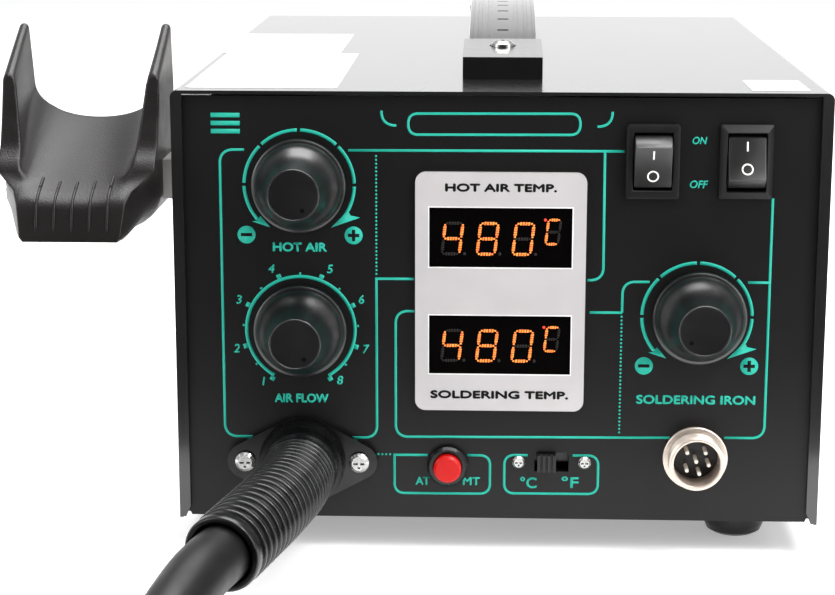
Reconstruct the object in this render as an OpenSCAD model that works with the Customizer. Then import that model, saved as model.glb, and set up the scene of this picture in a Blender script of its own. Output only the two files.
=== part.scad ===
// Hot air rework and soldering station with its air hose and handpiece.
// Drawn in a station frame (X across, Y front to back, Z up from the bench)
// and moved by place() so that the origin is under the middle of the whole set.

/* [Case] */
// Width over the cover's sides
case_w = 187; // [184:1:196]
// Depth of the cover from front lip to rear edge
case_d = 250; // [245:1:260]
// Height of the cover's top above the bench
case_top = 136; // [134:1:142]
// Height of the bottom plate above the bench
foot_h = 10; // [8:1:12]
// Thickness of the cover sheet
cover_t = 1; // [0.8:0.1:1.2]
// Thickness of the chassis sheet
chassis_t = 1.2; // [1:0.1:1.5]
// How far the front panel sits behind the cover's front edge
panel_y = 1.4; // [1.2:0.1:1.8]

/* [Front panel] */
// Height of the hot air temperature knob's axis
knob_upper_z = 109; // [108:0.5:112]
// Height of the air volume knob's axis
knob_lower_z = 66.5; // [64:0.5:68]
// Height of the iron temperature knob's axis
knob_right_z = 71.4; // [68:0.2:74]
// Distance of the knobs from the middle of the panel
knob_x = 57.2; // [56:0.2:58]
// Radius of a knob's skirt
knob_r = 13.5; // [12:0.5:15]
// Height of a knob's face above the panel
knob_h = 18.5; // [15:0.5:20]
// Height of both rocker switches
rocker_z = 116.5; // [114:0.5:118]
// Angle of a rocker from its middle position
rocker_tilt = 15; // [8:1:15]
// Travel of the red mode button
button_travel = 3; // [2:0.5:3]
// Travel of the unit selector
selector_travel = 3; // [2.6:0.1:3.8]

/* [Hose and handpiece] */
// Outer diameter of the air hose
hose_d = 16; // [14:1:16]
// Radius of the handpiece's grip
grip_r = 18; // [17:0.5:18]

/* [Holder] */
// Width of the handpiece holder
cradle_w = 45; // [42:1:46]
// Backward tilt of the holder's trough
cradle_tilt = 20; // [16:1:22]

/* [Hidden] */
$fn = 64;
eps = 0.01;

// Case
half_w = case_w / 2;
cover_bottom = foot_h - 0.4;
chassis_half = half_w - cover_t - 0.3;
rear_y = case_d - panel_y;
floor_top = foot_h + chassis_t;
panel_top = case_top - cover_t - 0.6;
lip_w = 3.2;
screw_r = 1.5;
screw_head_h = 1.9;
screw_hole_r = 1.6;
cover_screw_y = [30, case_d - 30];
cover_screw_z = foot_h + 9;

// Front panel: places are x from the middle and height above the bench
display_x = 0.4;
display_z = 78.1;
bezel_w = 48.8;
bezel_h = 70;
bezel_t = 1.2;
window_w = 41;
window_h = 17.4;
window_dz = 15.75;
window_rise = 0.4;
module_w = 39.4;
rocker_xs = [43.2, 69.5];
rocker_w = 10.6;
rocker_r = 7.8;
rocker_pivot_z = -1;
rocker_opening = [11, 16.2];
button_x = -14.5;
button_z = 26;
selector_x = 15.9;
selector_z = 27.4;
selector_w = 5.4;
socket_x = 57.6;
socket_z = 29.3;
socket_bore_r = 6.7;
socket_thread_r = 8;
socket_pin_r = 0.55;
socket_pin_circle = 3.75;
shaft_r = 3;
shaft_fit = 0.05;
knobs = [[-knob_x, knob_upper_z], [-knob_x, knob_lower_z], [knob_x + 0.4, knob_right_z]];
dot_angles = [-60, -60, -136.6];
knob_neck_r = 7.4;

// Air outlet
outlet_x = -57;
outlet_z = 27.4;
outlet_ear = 16.7;
boss_h = 8;
sleeve_r = 10.6;

// Feet, handle and rear
foot_xy = [72, 24];
cap_y = 31.5;
cap_l = 30;
cap_w = 23.6;
cap_front_h = 7.5;
cap_back_h = 9.1;
handle_x = 0.6;
strap_w = 21;
strap_t = 4;
strap_start = cap_y + 8;
strap_top = 16;
strap_bow = 2.4;
handle_mid = case_d / 2;
handle_screw_y = cap_y + 16;
handle_seat_h = 7.9;
inlet_x = 58;
inlet_z = 46;
inlet_pins = [[-7, 1.8], [7, 1.8], [0, -1.8]];
fuse_x = 14;
fuse_z = 46;
fuse_cap_h = 9;

// Holder
cradle_x = -119.8;
cradle_lip = [-14.5, 107.2];
cradle_in_r = 17.5;
cradle_floor_t = 10.5;
cradle_corner_r = 11;
cradle_bottom_z = 95.5;
cradle_rear_y = 33;
bracket_y = [13, 25];
bracket_z = [103.6, 115];
bracket_mid_z = (bracket_z[0] + bracket_z[1]) / 2;

// Hose: hand-chosen routes of its centre line, and the coil between them
hose_r = hose_d / 2;
coil_x = -6.5;
coil_y = -210;
coil_outer = 88;
coil_inner = 71.5;
sleeve_route = [
    [-57, -6.6, 27.4], [-57, -11, 27.4], [-57.5, -20, 27.4], [-59, -32, 27.5],
    [-62, -47, 27.4], [-66, -62, 26.8], [-71, -78, 25.5]
];
lead_route = [
    [-71, -78, 25.5], [-75, -90.8, 24.46], [-79.6, -108, 20.3], [-83.9, -127, 15.2],
    [-88, -148, 10.8], [-91.6, -170, 8.8], [-93.8, -190, 8.2], [-94.5, -210, 8.2]
];
tail_route = [
    [12, -141, 19.5], [-8, -138.5, 23.2], [-28, -137.5, 25.6], [-50, -138, 27],
    [-72, -141.5, 28], [-92, -149, 28.2], [-108, -161, 26.5], [-119, -178, 23.6],
    [-125, -196, 20], [-127, -214, 18], [-127, -232, 18]
];
grip_x = -127;
grip_y = -232;
gland_l = 14;
grip_l = 110;
tube_r = 12.5;
tube_l = 58;
nozzle_l = 24;

// Outer limits of the object without its hose, for the origin
left_x = grip_x - grip_r;
right_x = half_w + screw_head_h;
front_y = grip_y - gland_l - grip_l - tube_l - nozzle_l + 6;
back_y = rear_y + fuse_cap_h;
shift = [-(left_x + right_x) / 2, -(front_y + back_y) / 2, 0];

// ---------------------------------------------------------------- helpers

module place() {
    translate(shift) children();
}

// Local frame on the front panel: x right, y up, z out towards the user
module on_panel(x, z) {
    place() translate([x, panel_y, z]) rotate([90, 0, 0]) children();
}

// Local frame on the rear panel: x right, z out of the back
module on_rear(x, z) {
    place() translate([x, rear_y, z]) rotate([-90, 0, 0]) children();
}

// Local frame of the handpiece: z runs from the hose towards the nozzle
module on_grip() {
    place() translate([grip_x, grip_y, grip_r]) rotate([90, 0, 0]) children();
}

// Local frame of the holder: y along its trough, z square to it, from the middle of its front lip
module on_cradle() {
    place() translate([cradle_x, cradle_lip[0], cradle_lip[1]]) rotate([cradle_tilt, 0, 0]) children();
}

module rounded_rect(w, h, r) {
    square([w - 2 * r, h], center = true);
    square([w, h - 2 * r], center = true);
    for (sx = [-1, 1], sy = [-1, 1])
        translate([sx * (w / 2 - r), sy * (h / 2 - r)]) circle(r, $fn = 32);
}

module ring(r_out, r_in, h) {
    difference() {
        cylinder(r = r_out, h = h);
        translate([0, 0, -1]) cylinder(r = r_in, h = h + 2);
    }
}

// Pan head screw: head on top of z = 0, shank below, cross recess
module pan_screw(head_r, head_h, shank_r, shank_l) {
    difference() {
        union() {
            cylinder(r = head_r, h = head_h * 0.55);
            translate([0, 0, head_h * 0.55]) cylinder(r1 = head_r, r2 = head_r * 0.72, h = head_h * 0.45);
            translate([0, 0, -shank_l]) cylinder(r = shank_r, h = shank_l + eps);
        }
        for (a = [0, 90])
            rotate([0, 0, a]) translate([0, 0, head_h]) cube([head_r * 1.1, head_r * 0.26, head_h], center = true);
    }
}

function sub3(a, b) = [a[0] - b[0], a[1] - b[1], a[2] - b[2]];
function unit3(v) = v / norm(v);
function heading(p, i) =
    unit3(i == 0 ? sub3(p[1], p[0]) : i == len(p) - 1 ? sub3(p[i], p[i - 1]) : sub3(p[i + 1], p[i - 1]));
// A level direction square to the route, and the one square to both
function across(t) = unit3(cross(t, [0, 0, 1]));
function tube_ring(p, i, r, n) =
    let (t = heading(p, i), u = across(t), v = cross(u, t))
    [for (k = [0:n - 1]) p[i] + r * (cos(360 * k / n) * u + sin(360 * k / n) * v)];
// A closed tube swept along a route of points
module tube(p, r, n) {
    rings = len(p);
    points = [for (i = [0:rings - 1]) each tube_ring(p, i, r, n)];
    walls = [for (i = [0:rings - 2], k = [0:n - 1])
        [i * n + k, i * n + (k + 1) % n, (i + 1) * n + (k + 1) % n, (i + 1) * n + k]];
    start_cap = [[for (k = [n - 1:-1:0]) k]];
    end_cap = [[for (k = [0:n - 1]) (rings - 1) * n + k]];
    polyhedron(points, concat(walls, start_cap, end_cap), convexity = 6);
}

// ---------------------------------------------------------------- case

module cover_outline(w, top, r, bottom) {
    translate([-w / 2, bottom]) square([w, top - r - bottom]);
    translate([-w / 2 + r, bottom]) square([w - 2 * r, top - bottom]);
    for (s = [-1, 1]) translate([s * (w / 2 - r), top - r]) circle(r, $fn = 32);
}

module cover_lips() {
    outer = half_w - cover_t + eps;
    inner = half_w - lip_w;
    for (s = [-1, 1])
        translate([0, cover_t, 0]) rotate([90, 0, 0]) linear_extrude(cover_t)
            polygon([
                [s * outer, cover_bottom + 0.2], [s * (inner + 1.4), cover_bottom + 0.2],
                [s * inner, cover_bottom + 3.4], [s * inner, case_top - cover_t + eps],
                [s * outer, case_top - cover_t + eps]
            ]);
}

module cover() {
    color("#1d1d1e") place() difference() {
        union() {
            difference() {
                translate([0, case_d, 0]) rotate([90, 0, 0]) linear_extrude(case_d)
                    cover_outline(case_w, case_top, 2, cover_bottom);
                translate([0, case_d + 1, 0]) rotate([90, 0, 0]) linear_extrude(case_d + 2)
                    cover_outline(case_w - 2 * cover_t, case_top - cover_t, 1, cover_bottom - 2);
            }
            cover_lips();
        }
        for (i = [0:8], s = [-1, 1])
            translate([s * half_w, case_d - 96 + 9 * i, 88]) cube([6, 3.6, 34], center = true);
        for (y = [handle_screw_y, case_d - handle_screw_y])
            translate([handle_x, y, case_top - 3]) cylinder(r = 2, h = 6);
        for (y = bracket_y)
            translate([-half_w - 3, y, bracket_mid_z]) rotate([0, 90, 0]) cylinder(r = screw_hole_r, h = 6);
        for (y = cover_screw_y, s = [-1, 1])
            translate([s * (half_w - 3), y, cover_screw_z]) rotate([0, s * 90, 0]) cylinder(r = screw_hole_r, h = 6);
    }
}

module panel_openings() {
    for (s = [-1, 1])
        translate([display_x, display_z + s * window_dz + window_rise]) square([window_w - 1, window_h - 1], center = true);
    for (x = rocker_xs) translate([x, rocker_z]) square([13.2, 19.2], center = true);
    for (k = knobs) translate(k) circle(3.55);
    translate([button_x, button_z]) circle(5.05);
    translate([selector_x, selector_z]) square([10, 5.8], center = true);
    for (s = [-1, 1]) translate([selector_x + 9.6 * s, selector_z]) circle(1.1, $fn = 32);
    translate([socket_x, socket_z]) circle(socket_thread_r + 0.05);
    translate([outlet_x, outlet_z]) circle(9);
    for (s = [-1, 1]) translate([outlet_x + outlet_ear * s, outlet_z]) circle(1.6, $fn = 32);
}

module rear_openings() {
    translate([inlet_x, inlet_z]) square([27.4, 20.2], center = true);
    for (s = [-1, 1]) translate([inlet_x + 20 * s, inlet_z]) circle(1.6, $fn = 32);
    translate([fuse_x, fuse_z]) circle(6.1);
    for (i = [0:9], j = [0, 1]) translate([-66 + 9 * i, 78 + 26 * j]) square([3.6, 20], center = true);
}

module plate_outline() {
    difference() {
        translate([-chassis_half, foot_h]) square([2 * chassis_half, panel_top - foot_h]);
        for (s = [-1, 1])
            polygon([
                [s * (chassis_half + 1), foot_h - 1], [s * (chassis_half - 2.6), foot_h - 1],
                [s * (chassis_half - 1), foot_h + 2.4], [s * (chassis_half + 1), foot_h + 2.4]
            ]);
    }
}

module chassis() {
    color("#242425") place() difference() {
        union() {
            translate([0, panel_y + chassis_t, 0]) rotate([90, 0, 0]) linear_extrude(chassis_t)
                difference() { plate_outline(); panel_openings(); }
            translate([0, rear_y, 0]) rotate([90, 0, 0]) linear_extrude(chassis_t)
                difference() { plate_outline(); rear_openings(); }
            translate([-chassis_half, panel_y + 3, foot_h]) cube([2 * chassis_half, rear_y - panel_y - 6, chassis_t]);
            translate([3 - chassis_half, panel_y, foot_h]) cube([2 * chassis_half - 6, rear_y - panel_y, chassis_t]);
            for (s = [-1, 1])
                translate([s * (chassis_half - chassis_t / 2) - chassis_t / 2, 12, foot_h])
                    cube([chassis_t, case_d - 24, 17]);
            for (y = [panel_y, rear_y - 9]) translate([10 - chassis_half, y, panel_top - chassis_t])
                cube([2 * chassis_half - 20, 9, chassis_t]);
        }
        for (sx = [-1, 1], y = [foot_xy[1], case_d - foot_xy[1]])
            translate([sx * foot_xy[0], y, foot_h - 1]) cylinder(r = 1.8, h = 4, $fn = 32);
        for (y = cover_screw_y, s = [-1, 1])
            translate([s * (half_w - 5), y, cover_screw_z]) rotate([0, s * 90, 0]) cylinder(r = screw_r, h = 8);
        for (i = [0:7]) translate([-52 + 8 * i, 190, foot_h]) cube([3.4, 34, 6], center = true);
    }
}

// Four screws through the cover's sides and two from inside it into the holder
module case_screws() {
    color("#8f8f92") place() {
        for (y = cover_screw_y, s = [-1, 1])
            translate([s * half_w, y, cover_screw_z]) rotate([0, s * 90, 0]) m3_screw();
        for (y = bracket_y)
            translate([cover_t - half_w, y, bracket_mid_z]) rotate([0, 90, 0]) m3_screw();
    }
}

module m3_screw() {
    pan_screw(3, screw_head_h, screw_r, 9);
}

module feet() {
    color("#151515") place() for (sx = [-1, 1], y = [foot_xy[1], case_d - foot_xy[1]])
        translate([sx * foot_xy[0], y, 0]) rotate_extrude($fn = 48)
            polygon([
                [3.6, 0], [6.6, 0], [8.2, 1], [9, 3], [9.3, 6], [9.3, foot_h],
                [1.7, foot_h], [1.7, 5], [3.6, 5]
            ]);
}

module foot_screws() {
    color("#b8b8b8") place() for (sx = [-1, 1], y = [foot_xy[1], case_d - foot_xy[1]])
        translate([sx * foot_xy[0], y, 5]) rotate([180, 0, 0]) pan_screw(3.2, 2, 1.6, foot_h + 4);
}

// ---------------------------------------------------------------- carrying handle

module cap_side() {
    polygon([[0, 0], [0, cap_front_h - 1], [1, cap_front_h], [cap_l, cap_back_h], [cap_l, 0]]);
}

module handle_cap() {
    difference() {
        translate([-cap_w / 2, 0, 0]) rotate([90, 0, 90]) linear_extrude(cap_w) cap_side();
        translate([-cap_w / 2 + 1.3, 8, -1]) rotate([90, 0, 90]) linear_extrude(cap_w - 2.6)
            polygon([[0, 0], [0, 7.5], [cap_l, 9.8], [cap_l, 0]]);
        translate([0, handle_screw_y - cap_y, 0]) cylinder(r = 2, h = 20);
        translate([0, handle_screw_y - cap_y, handle_seat_h]) cylinder(r = 4, h = 20);
    }
}

module handle_caps() {
    color("#2a2a2b") place() {
        translate([handle_x, cap_y, case_top]) handle_cap();
        translate([handle_x, case_d - cap_y, case_top]) rotate([0, 0, 180]) handle_cap();
    }
}

// Height of the strap's top above the cover at depth y: a flat-topped bow that
// eases into the two end caps
function strap_height(y) =
    let (d = abs(y - handle_mid), bend = handle_mid - cap_y - cap_l)
    d < bend ? strap_top - 8 * pow(d / bend, strap_bow) : strap_top - 8 - (d - bend) * 0.127;

module handle_strap() {
    steps = 38;
    ys = [for (i = [0:steps]) strap_start + (case_d - 2 * strap_start) * i / steps];
    color("#2b2a2b") place() difference() {
        translate([handle_x - strap_w / 2, 0, case_top]) rotate([90, 0, 90]) linear_extrude(strap_w)
            polygon(concat(
                [for (y = ys) [y, strap_height(y) - strap_t]],
                [for (i = [steps:-1:0]) [ys[i], strap_height(ys[i])]]
            ));
        for (y = [handle_screw_y, case_d - handle_screw_y])
            translate([handle_x, y, case_top]) cylinder(r = 2, h = 20);
    }
}

module handle_screws() {
    color("#9a9a9a") place() for (y = [handle_screw_y, case_d - handle_screw_y])
        translate([handle_x, y, case_top + handle_seat_h]) pan_screw(3.6, 2, 1.95, handle_seat_h + 5);
}

// ---------------------------------------------------------------- display

module display_bezel() {
    color("#b9bdc2") on_panel(display_x, display_z) linear_extrude(bezel_t) difference() {
        rounded_rect(bezel_w, bezel_h, 3);
        for (s = [-1, 1]) translate([0, s * window_dz + window_rise]) square([window_w, window_h + 0.2], center = true);
    }
}

module display_windows() {
    color("#0a0a0b") on_panel(display_x, display_z) for (s = [-1, 1])
        translate([-window_w / 2, s * window_dz + window_rise - window_h / 2, 0.05]) cube([window_w, window_h, 0.7]);
}

module display_modules() {
    color("#202022") on_panel(display_x, display_z) for (s = [-1, 1])
        translate([-module_w / 2, s * window_dz + window_rise - 8, -8]) cube([module_w, 16, 7.9]);
}

module display_board() {
    color("#1d5b34") on_panel(display_x, display_z) difference() {
        translate([-30, -37, -9.6]) cube([60, 74, 1.6]);
        for (sx = [-1, 1], sy = [-1, 1]) translate([26 * sx, 33 * sy, -12]) cylinder(r = 1.6, h = 6, $fn = 32);
    }
}

// ---------------------------------------------------------------- rocker switches

module rocker_housing() {
    difference() {
        union() {
            linear_extrude(2) rounded_rect(15.4, 21, 1);
            translate([-6.5, -9.5, -13]) cube([13, 19, 13 + eps]);
        }
        translate([-rocker_opening[0] / 2, -rocker_opening[1] / 2, -9])
            cube([rocker_opening[0], rocker_opening[1], 20]);
        translate([-6.3, 0, rocker_pivot_z]) rotate([0, 90, 0]) cylinder(r = 0.95, h = 12.6, $fn = 32);
    }
}

module rocker_housings() {
    color("#161617") for (x = rocker_xs) on_panel(x, rocker_z) rocker_housing();
}

// Rocker about its own pivot: concave face, ends turned about the pivot
module rocker() {
    intersection() {
        rotate([0, 90, 0]) cylinder(r = rocker_r, h = rocker_w, center = true, $fn = 96);
        translate([-rocker_w / 2, 0, 0]) rotate([90, 0, 90]) linear_extrude(rocker_w)
            polygon(concat([[-9, -2.4], [9, -2.4]], [for (i = [3:-1:-3]) [3 * i, 4.45 + 0.142 * i * i]]));
    }
    translate([-6.1, 0, 0]) rotate([0, 90, 0]) cylinder(r = 0.9, h = 12.2, $fn = 32);
    translate([-2, -1.4, -5.6]) cube([4, 2.8, 4]);
}

module rocker_left() {
    color("#1b1b1c") on_panel(rocker_xs[0], rocker_z)
        translate([0, 0, rocker_pivot_z]) rotate([rocker_tilt, 0, 0]) rocker();
}

module rocker_right() {
    color("#1b1b1c") on_panel(rocker_xs[1], rocker_z)
        translate([0, 0, rocker_pivot_z]) rotate([-rocker_tilt, 0, 0]) rocker();
}

// Blades behind the two switches and pins of the mains inlet
module mains_terminals() {
    color("#c9a24a") {
        for (x = rocker_xs, s = [-1, 1], dy = [-5.4, 0.6]) on_panel(x, rocker_z)
            translate([3.6 * s - 0.4, dy, -21]) cube([0.8, 4.8, 8]);
        for (p = inlet_pins) on_rear(inlet_x, inlet_z)
            translate([p[0] - 1, p[1] - 2, -20]) cube([2, 4, 19]);
    }
}

// ---------------------------------------------------------------- knobs

module knob(dot) {
    difference() {
        rotate_extrude($fn = 96) difference() {
            polygon(concat(
                [[0, 0.8], [knob_r - 0.4, 0.8], [knob_r, 1.2], [knob_r, 2.8], [knob_r - 0.6, 3.4]],
                [for (i = [0:10])
                    let (u = i / 10)
                    [knob_neck_r + (knob_r - 1.2 - knob_neck_r) * pow(1 - u, 2.1), 3.6 + (knob_h - 4.2) * u]],
                [[knob_neck_r - 0.5, knob_h], [0, knob_h]]
            ));
            translate([-1, 0]) square([12.2, 5.4]);
        }
        translate([0, 0, 2]) cylinder(r = shaft_r, h = knob_h - 5);
        rotate([0, 0, dot]) translate([5.3, 0, knob_h - 0.45]) cylinder(r = 0.8, h = 1, $fn = 24);
    }
}

module knob_hot_air_temp() {
    color("#232324") on_panel(knobs[0][0], knobs[0][1]) knob(dot_angles[0]);
}

module knob_air_volume() {
    color("#232324") on_panel(knobs[1][0], knobs[1][1]) knob(dot_angles[1]);
}

module knob_iron_temp() {
    color("#232324") on_panel(knobs[2][0], knobs[2][1]) knob(dot_angles[2]);
}

module pot_shaft() {
    translate([0, 0, -6]) cylinder(r = shaft_r, h = knob_h + 3, $fn = 48);
}

module shaft_hot_air_temp() {
    color("#c8c8c8") on_panel(knobs[0][0], knobs[0][1]) pot_shaft();
}

module shaft_air_volume() {
    color("#c8c8c8") on_panel(knobs[1][0], knobs[1][1]) pot_shaft();
}

module shaft_iron_temp() {
    color("#c8c8c8") on_panel(knobs[2][0], knobs[2][1]) pot_shaft();
}

module potentiometers() {
    color("#8d9196") for (k = knobs) on_panel(k[0], k[1]) difference() {
        union() {
            translate([0, 0, -9.2]) cylinder(r = 8.2, h = 8);
            translate([0, 0, -2]) cylinder(r = 3.5, h = 6.6);
            translate([-5, -16, -5.2]) cube([10, 9, 1.2]);
        }
        translate([0, 0, -7]) cylinder(r = shaft_r + shaft_fit, h = 20, $fn = 48);
    }
}

// Nuts on the three potentiometers' bushings and behind the mode button
module panel_nuts() {
    color("#b9b9ba") {
        for (k = knobs) on_panel(k[0], k[1]) difference() {
            union() {
                translate([0, 0, 0.4]) cylinder(r = 5.7, h = 2.2, $fn = 6);
                cylinder(r = 6.4, h = 0.4 + eps);
            }
            translate([0, 0, -1]) cylinder(r = 3.5, h = 6);
        }
        on_panel(button_x, button_z) translate([0, 0, -chassis_t - 2.4]) difference() {
            cylinder(r = 7.4, h = 2.4, $fn = 6);
            translate([0, 0, -1]) cylinder(r = 5, h = 6);
        }
    }
}

// ---------------------------------------------------------------- small switches

module mode_button_body() {
    color("#151516") on_panel(button_x, button_z) difference() {
        union() {
            cylinder(r = 6, h = 1.4);
            translate([0, 0, 1.4]) cylinder(r1 = 6, r2 = 5.3, h = 0.8);
            translate([0, 0, -15]) cylinder(r = 5, h = 15 + eps);
        }
        translate([0, 0, -11]) cylinder(r = 4.35, h = 20);
    }
}

module mode_button_cap() {
    color("#cf2a22") on_panel(button_x, button_z) {
        translate([0, 0, -6]) cylinder(r = 4.05, h = 10);
        translate([0, 0, 4 - eps]) cylinder(r1 = 4.05, r2 = 3.3, h = 0.7);
    }
}

module unit_switch_body() {
    color("#2e2e30") on_panel(selector_x, selector_z) difference() {
        translate([-12, -3.4, -chassis_t - 6.4]) cube([24, 6.8, 6.4]);
        translate([-5, -2.8, -chassis_t - 4.4]) cube([10, 5.6, 10]);
        for (s = [-1, 1]) translate([9.6 * s, 0, -20]) cylinder(r = 1, h = 30, $fn = 32);
    }
}

module unit_switch_slider() {
    color("#111112") on_panel(selector_x - selector_travel / 2, selector_z) difference() {
        translate([-selector_w / 2, -2.5, -chassis_t - 4.2]) cube([selector_w, 5, chassis_t + 4.2 + 2.6]);
        for (i = [-1:1]) translate([1.5 * i, 0, 2.6]) cube([0.7, 7, 2.2], center = true);
    }
}

module unit_switch_screws() {
    color("#c4c4c4") for (s = [-1, 1]) on_panel(selector_x + 9.6 * s, selector_z) pan_screw(1.9, 1.3, 1, 7);
}

// ---------------------------------------------------------------- iron socket

module iron_socket_shell() {
    color("#c9c6c0") on_panel(socket_x, socket_z) difference() {
        union() {
            cylinder(r = 9.2, h = 1.4);
            translate([0, 0, 1.4 - eps]) cylinder(r = 7.5, h = 0.8 + eps);
            translate([0, 0, 2.2 - eps]) cylinder(r = socket_thread_r, h = 5 + eps);
            translate([0, 0, -9]) cylinder(r = socket_thread_r, h = 9 + eps);
        }
        translate([0, 0, -10]) cylinder(r = socket_bore_r, h = 30);
    }
}

module iron_socket_insert() {
    color("#121213") on_panel(socket_x, socket_z) difference() {
        translate([0, 0, -8.6]) cylinder(r = socket_bore_r, h = 7.4);
        for (p = socket_pins()) translate([p[0], p[1], -10]) cylinder(r = socket_pin_r, h = 12, $fn = 24);
    }
}

// Five pins on a circle and one in the middle
function socket_pins() = concat([[0, 0]], [for (a = [45, -15, -75, -135, 135]) socket_pin_circle * [cos(a), sin(a)]]);

module iron_socket_pins() {
    color("#d8d4cc") on_panel(socket_x, socket_z) for (p = socket_pins())
        translate([p[0], p[1], -13]) cylinder(r = socket_pin_r, h = 17.6, $fn = 24);
}

module iron_socket_nut() {
    color("#b5b2ab") on_panel(socket_x, socket_z) translate([0, 0, -chassis_t - 2.6]) difference() {
        cylinder(r = 10.4, h = 2.6, $fn = 6);
        translate([0, 0, -1]) cylinder(r = socket_thread_r, h = 6);
    }
}

// ---------------------------------------------------------------- air outlet and hose

// Two-eared plate: straight sides tangent to the boss and to both ears
module flange_outline() {
    boss_r = 13.2;
    ear_r = 5.3;
    a = acos((boss_r - ear_r) / outlet_ear);
    circle(boss_r);
    for (s = [-1, 1]) {
        translate([s * outlet_ear, 0]) circle(ear_r);
        polygon([
            [0, 0], [s * boss_r * cos(a), boss_r * sin(a)],
            [s * (outlet_ear + ear_r * cos(a)), ear_r * sin(a)],
            [s * (outlet_ear + ear_r * cos(a)), -ear_r * sin(a)],
            [s * boss_r * cos(a), -boss_r * sin(a)]
        ]);
    }
}

module hose_flange() {
    color("#1a1a1b") on_panel(outlet_x, outlet_z) difference() {
        union() {
            linear_extrude(2.4) flange_outline();
            cylinder(r1 = 13, r2 = 12, h = boss_h);
            translate([0, 0, -9]) cylinder(r = 6, h = 10);
        }
        translate([0, 0, 1]) cylinder(r = 7.8, h = 20);
        translate([0, 0, -10]) cylinder(r = 4, h = 20);
        for (s = [-1, 1]) translate([s * outlet_ear, 0, -1]) cylinder(r = 1.6, h = 5, $fn = 32);
    }
}

module flange_screws() {
    color("#c4c4c4") for (s = [-1, 1]) on_panel(outlet_x + outlet_ear * s, outlet_z)
        translate([0, 0, 2.4]) pan_screw(2.9, 1.8, 1.55, 8);
}

module hose_sleeve() {
    color("#1a1a1b") place() tube(sleeve_route, sleeve_r, 12);
}

module hose_lead() {
    color("#2c2c2e") place() tube(lead_route, hose_r, 12);
}

module hose_coil() {
    color("#2c2c2e") place() translate([coil_x, coil_y, 0]) rotate_extrude($fn = 96) {
        translate([coil_inner, 0.2]) square([coil_outer - coil_inner, hose_d - 0.4]);
        for (r = [coil_inner, coil_outer]) translate([r, hose_r]) circle(hose_r - 0.2, $fn = 32);
    }
}

module hose_tail() {
    color("#2c2c2e") place() tube(tail_route, hose_r, 12);
}

// ---------------------------------------------------------------- handpiece

module grip_gland() {
    color("#1a1a1b") on_grip() difference() {
        union() {
            cylinder(r1 = 9.5, r2 = 11.5, h = gland_l - 2);
            translate([0, 0, gland_l - 2 - eps]) cylinder(r = 12.6, h = 6);
        }
        translate([0, 0, 1]) cylinder(r = 6, h = 40);
    }
}

// Outline of the grip: radius over distance from its hose end, with an even wall
module grip_outline(cut) {
    polygon([
        [13.8 - cut, gland_l - 2], [15.4 - cut, gland_l], [17 - cut, gland_l + 6], [grip_r - cut, gland_l + 18],
        [grip_r - 0.6 - cut, gland_l + 52], [grip_r - 0.6 - cut, gland_l + 74], [grip_r - cut, gland_l + 98],
        [grip_r - cut, gland_l + grip_l - 4], [grip_r - 1 - cut, gland_l + grip_l], [0, gland_l + grip_l],
        [0, gland_l - 2]
    ]);
}

module grip_shell() {
    difference() {
        rotate_extrude($fn = 64) grip_outline(0);
        rotate_extrude($fn = 64) intersection() {
            grip_outline(2.4);
            translate([0, gland_l + 4]) square([30, grip_l - 7]);
        }
        translate([0, 0, gland_l - 4]) cylinder(r = 12.6, h = 9);
        translate([0, 0, gland_l + grip_l - 10]) cylinder(r = tube_r, h = 12);
        for (d = [gland_l + 22, gland_l + 92]) translate([0, 0, d]) rotate([0, 90, 0]) cylinder(r = 1.25, h = 60, center = true);
        for (d = [gland_l + 22, gland_l + 92]) translate([15.4, 0, d]) rotate([0, 90, 0]) cylinder(r = 2.6, h = 6);
    }
}

module grip_half(side) {
    intersection() {
        grip_shell();
        translate([side * 50, 0, 100]) cube([100, 100, 300], center = true);
    }
}

module grip_shell_left() {
    color("#1f1f20") on_grip() grip_half(-1);
}

module grip_shell_right() {
    color("#1f1f20") on_grip() grip_half(1);
}

module grip_screws() {
    color("#9a9a9a") on_grip() for (d = [gland_l + 22, gland_l + 92])
        translate([15.4, 0, d]) rotate([0, 90, 0]) pan_screw(2.4, 1.4, 1.2, 29);
}

module heater_tube() {
    color("#c9c9c7") on_grip() difference() {
        translate([0, 0, gland_l + grip_l - 8]) cylinder(r = tube_r, h = tube_l + 8);
        translate([0, 0, gland_l + grip_l - 10]) cylinder(r = tube_r - 0.8, h = tube_l + 20);
        for (a = [0:60:300]) translate([0, 0, gland_l + grip_l + 6]) rotate([0, 90, a]) cylinder(r = 1.8, h = 20);
    }
}

module heater_core() {
    color("#d9cfc0") on_grip() difference() {
        union() {
            translate([0, 0, gland_l + grip_l - 6]) cylinder(r = 9.4, h = tube_l - 2);
            for (z = [gland_l + grip_l - 5, gland_l + grip_l + 40]) translate([0, 0, z]) cylinder(r = tube_r - 0.8, h = 2);
        }
        for (a = [0:60:300]) rotate([0, 0, a]) translate([6, 0, gland_l + grip_l - 20]) cylinder(r = 1.7, h = 120, $fn = 24);
    }
}

module nozzle() {
    base = gland_l + grip_l + tube_l;
    color("#b9b9b7") on_grip() difference() {
        rotate_extrude($fn = 64) polygon([
            [0, base - 6], [tube_r + 0.9, base - 6], [tube_r + 0.9, base + 4], [5, base + nozzle_l - 14],
            [5, base + nozzle_l - 6], [0, base + nozzle_l - 6]
        ]);
        translate([0, 0, base - 7]) cylinder(r = tube_r, h = 8);
        translate([0, 0, base - 1]) cylinder(r1 = tube_r - 1, r2 = 4, h = nozzle_l - 15);
        translate([0, 0, base]) cylinder(r = 4, h = 60);
    }
}

// ---------------------------------------------------------------- holder

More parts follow.
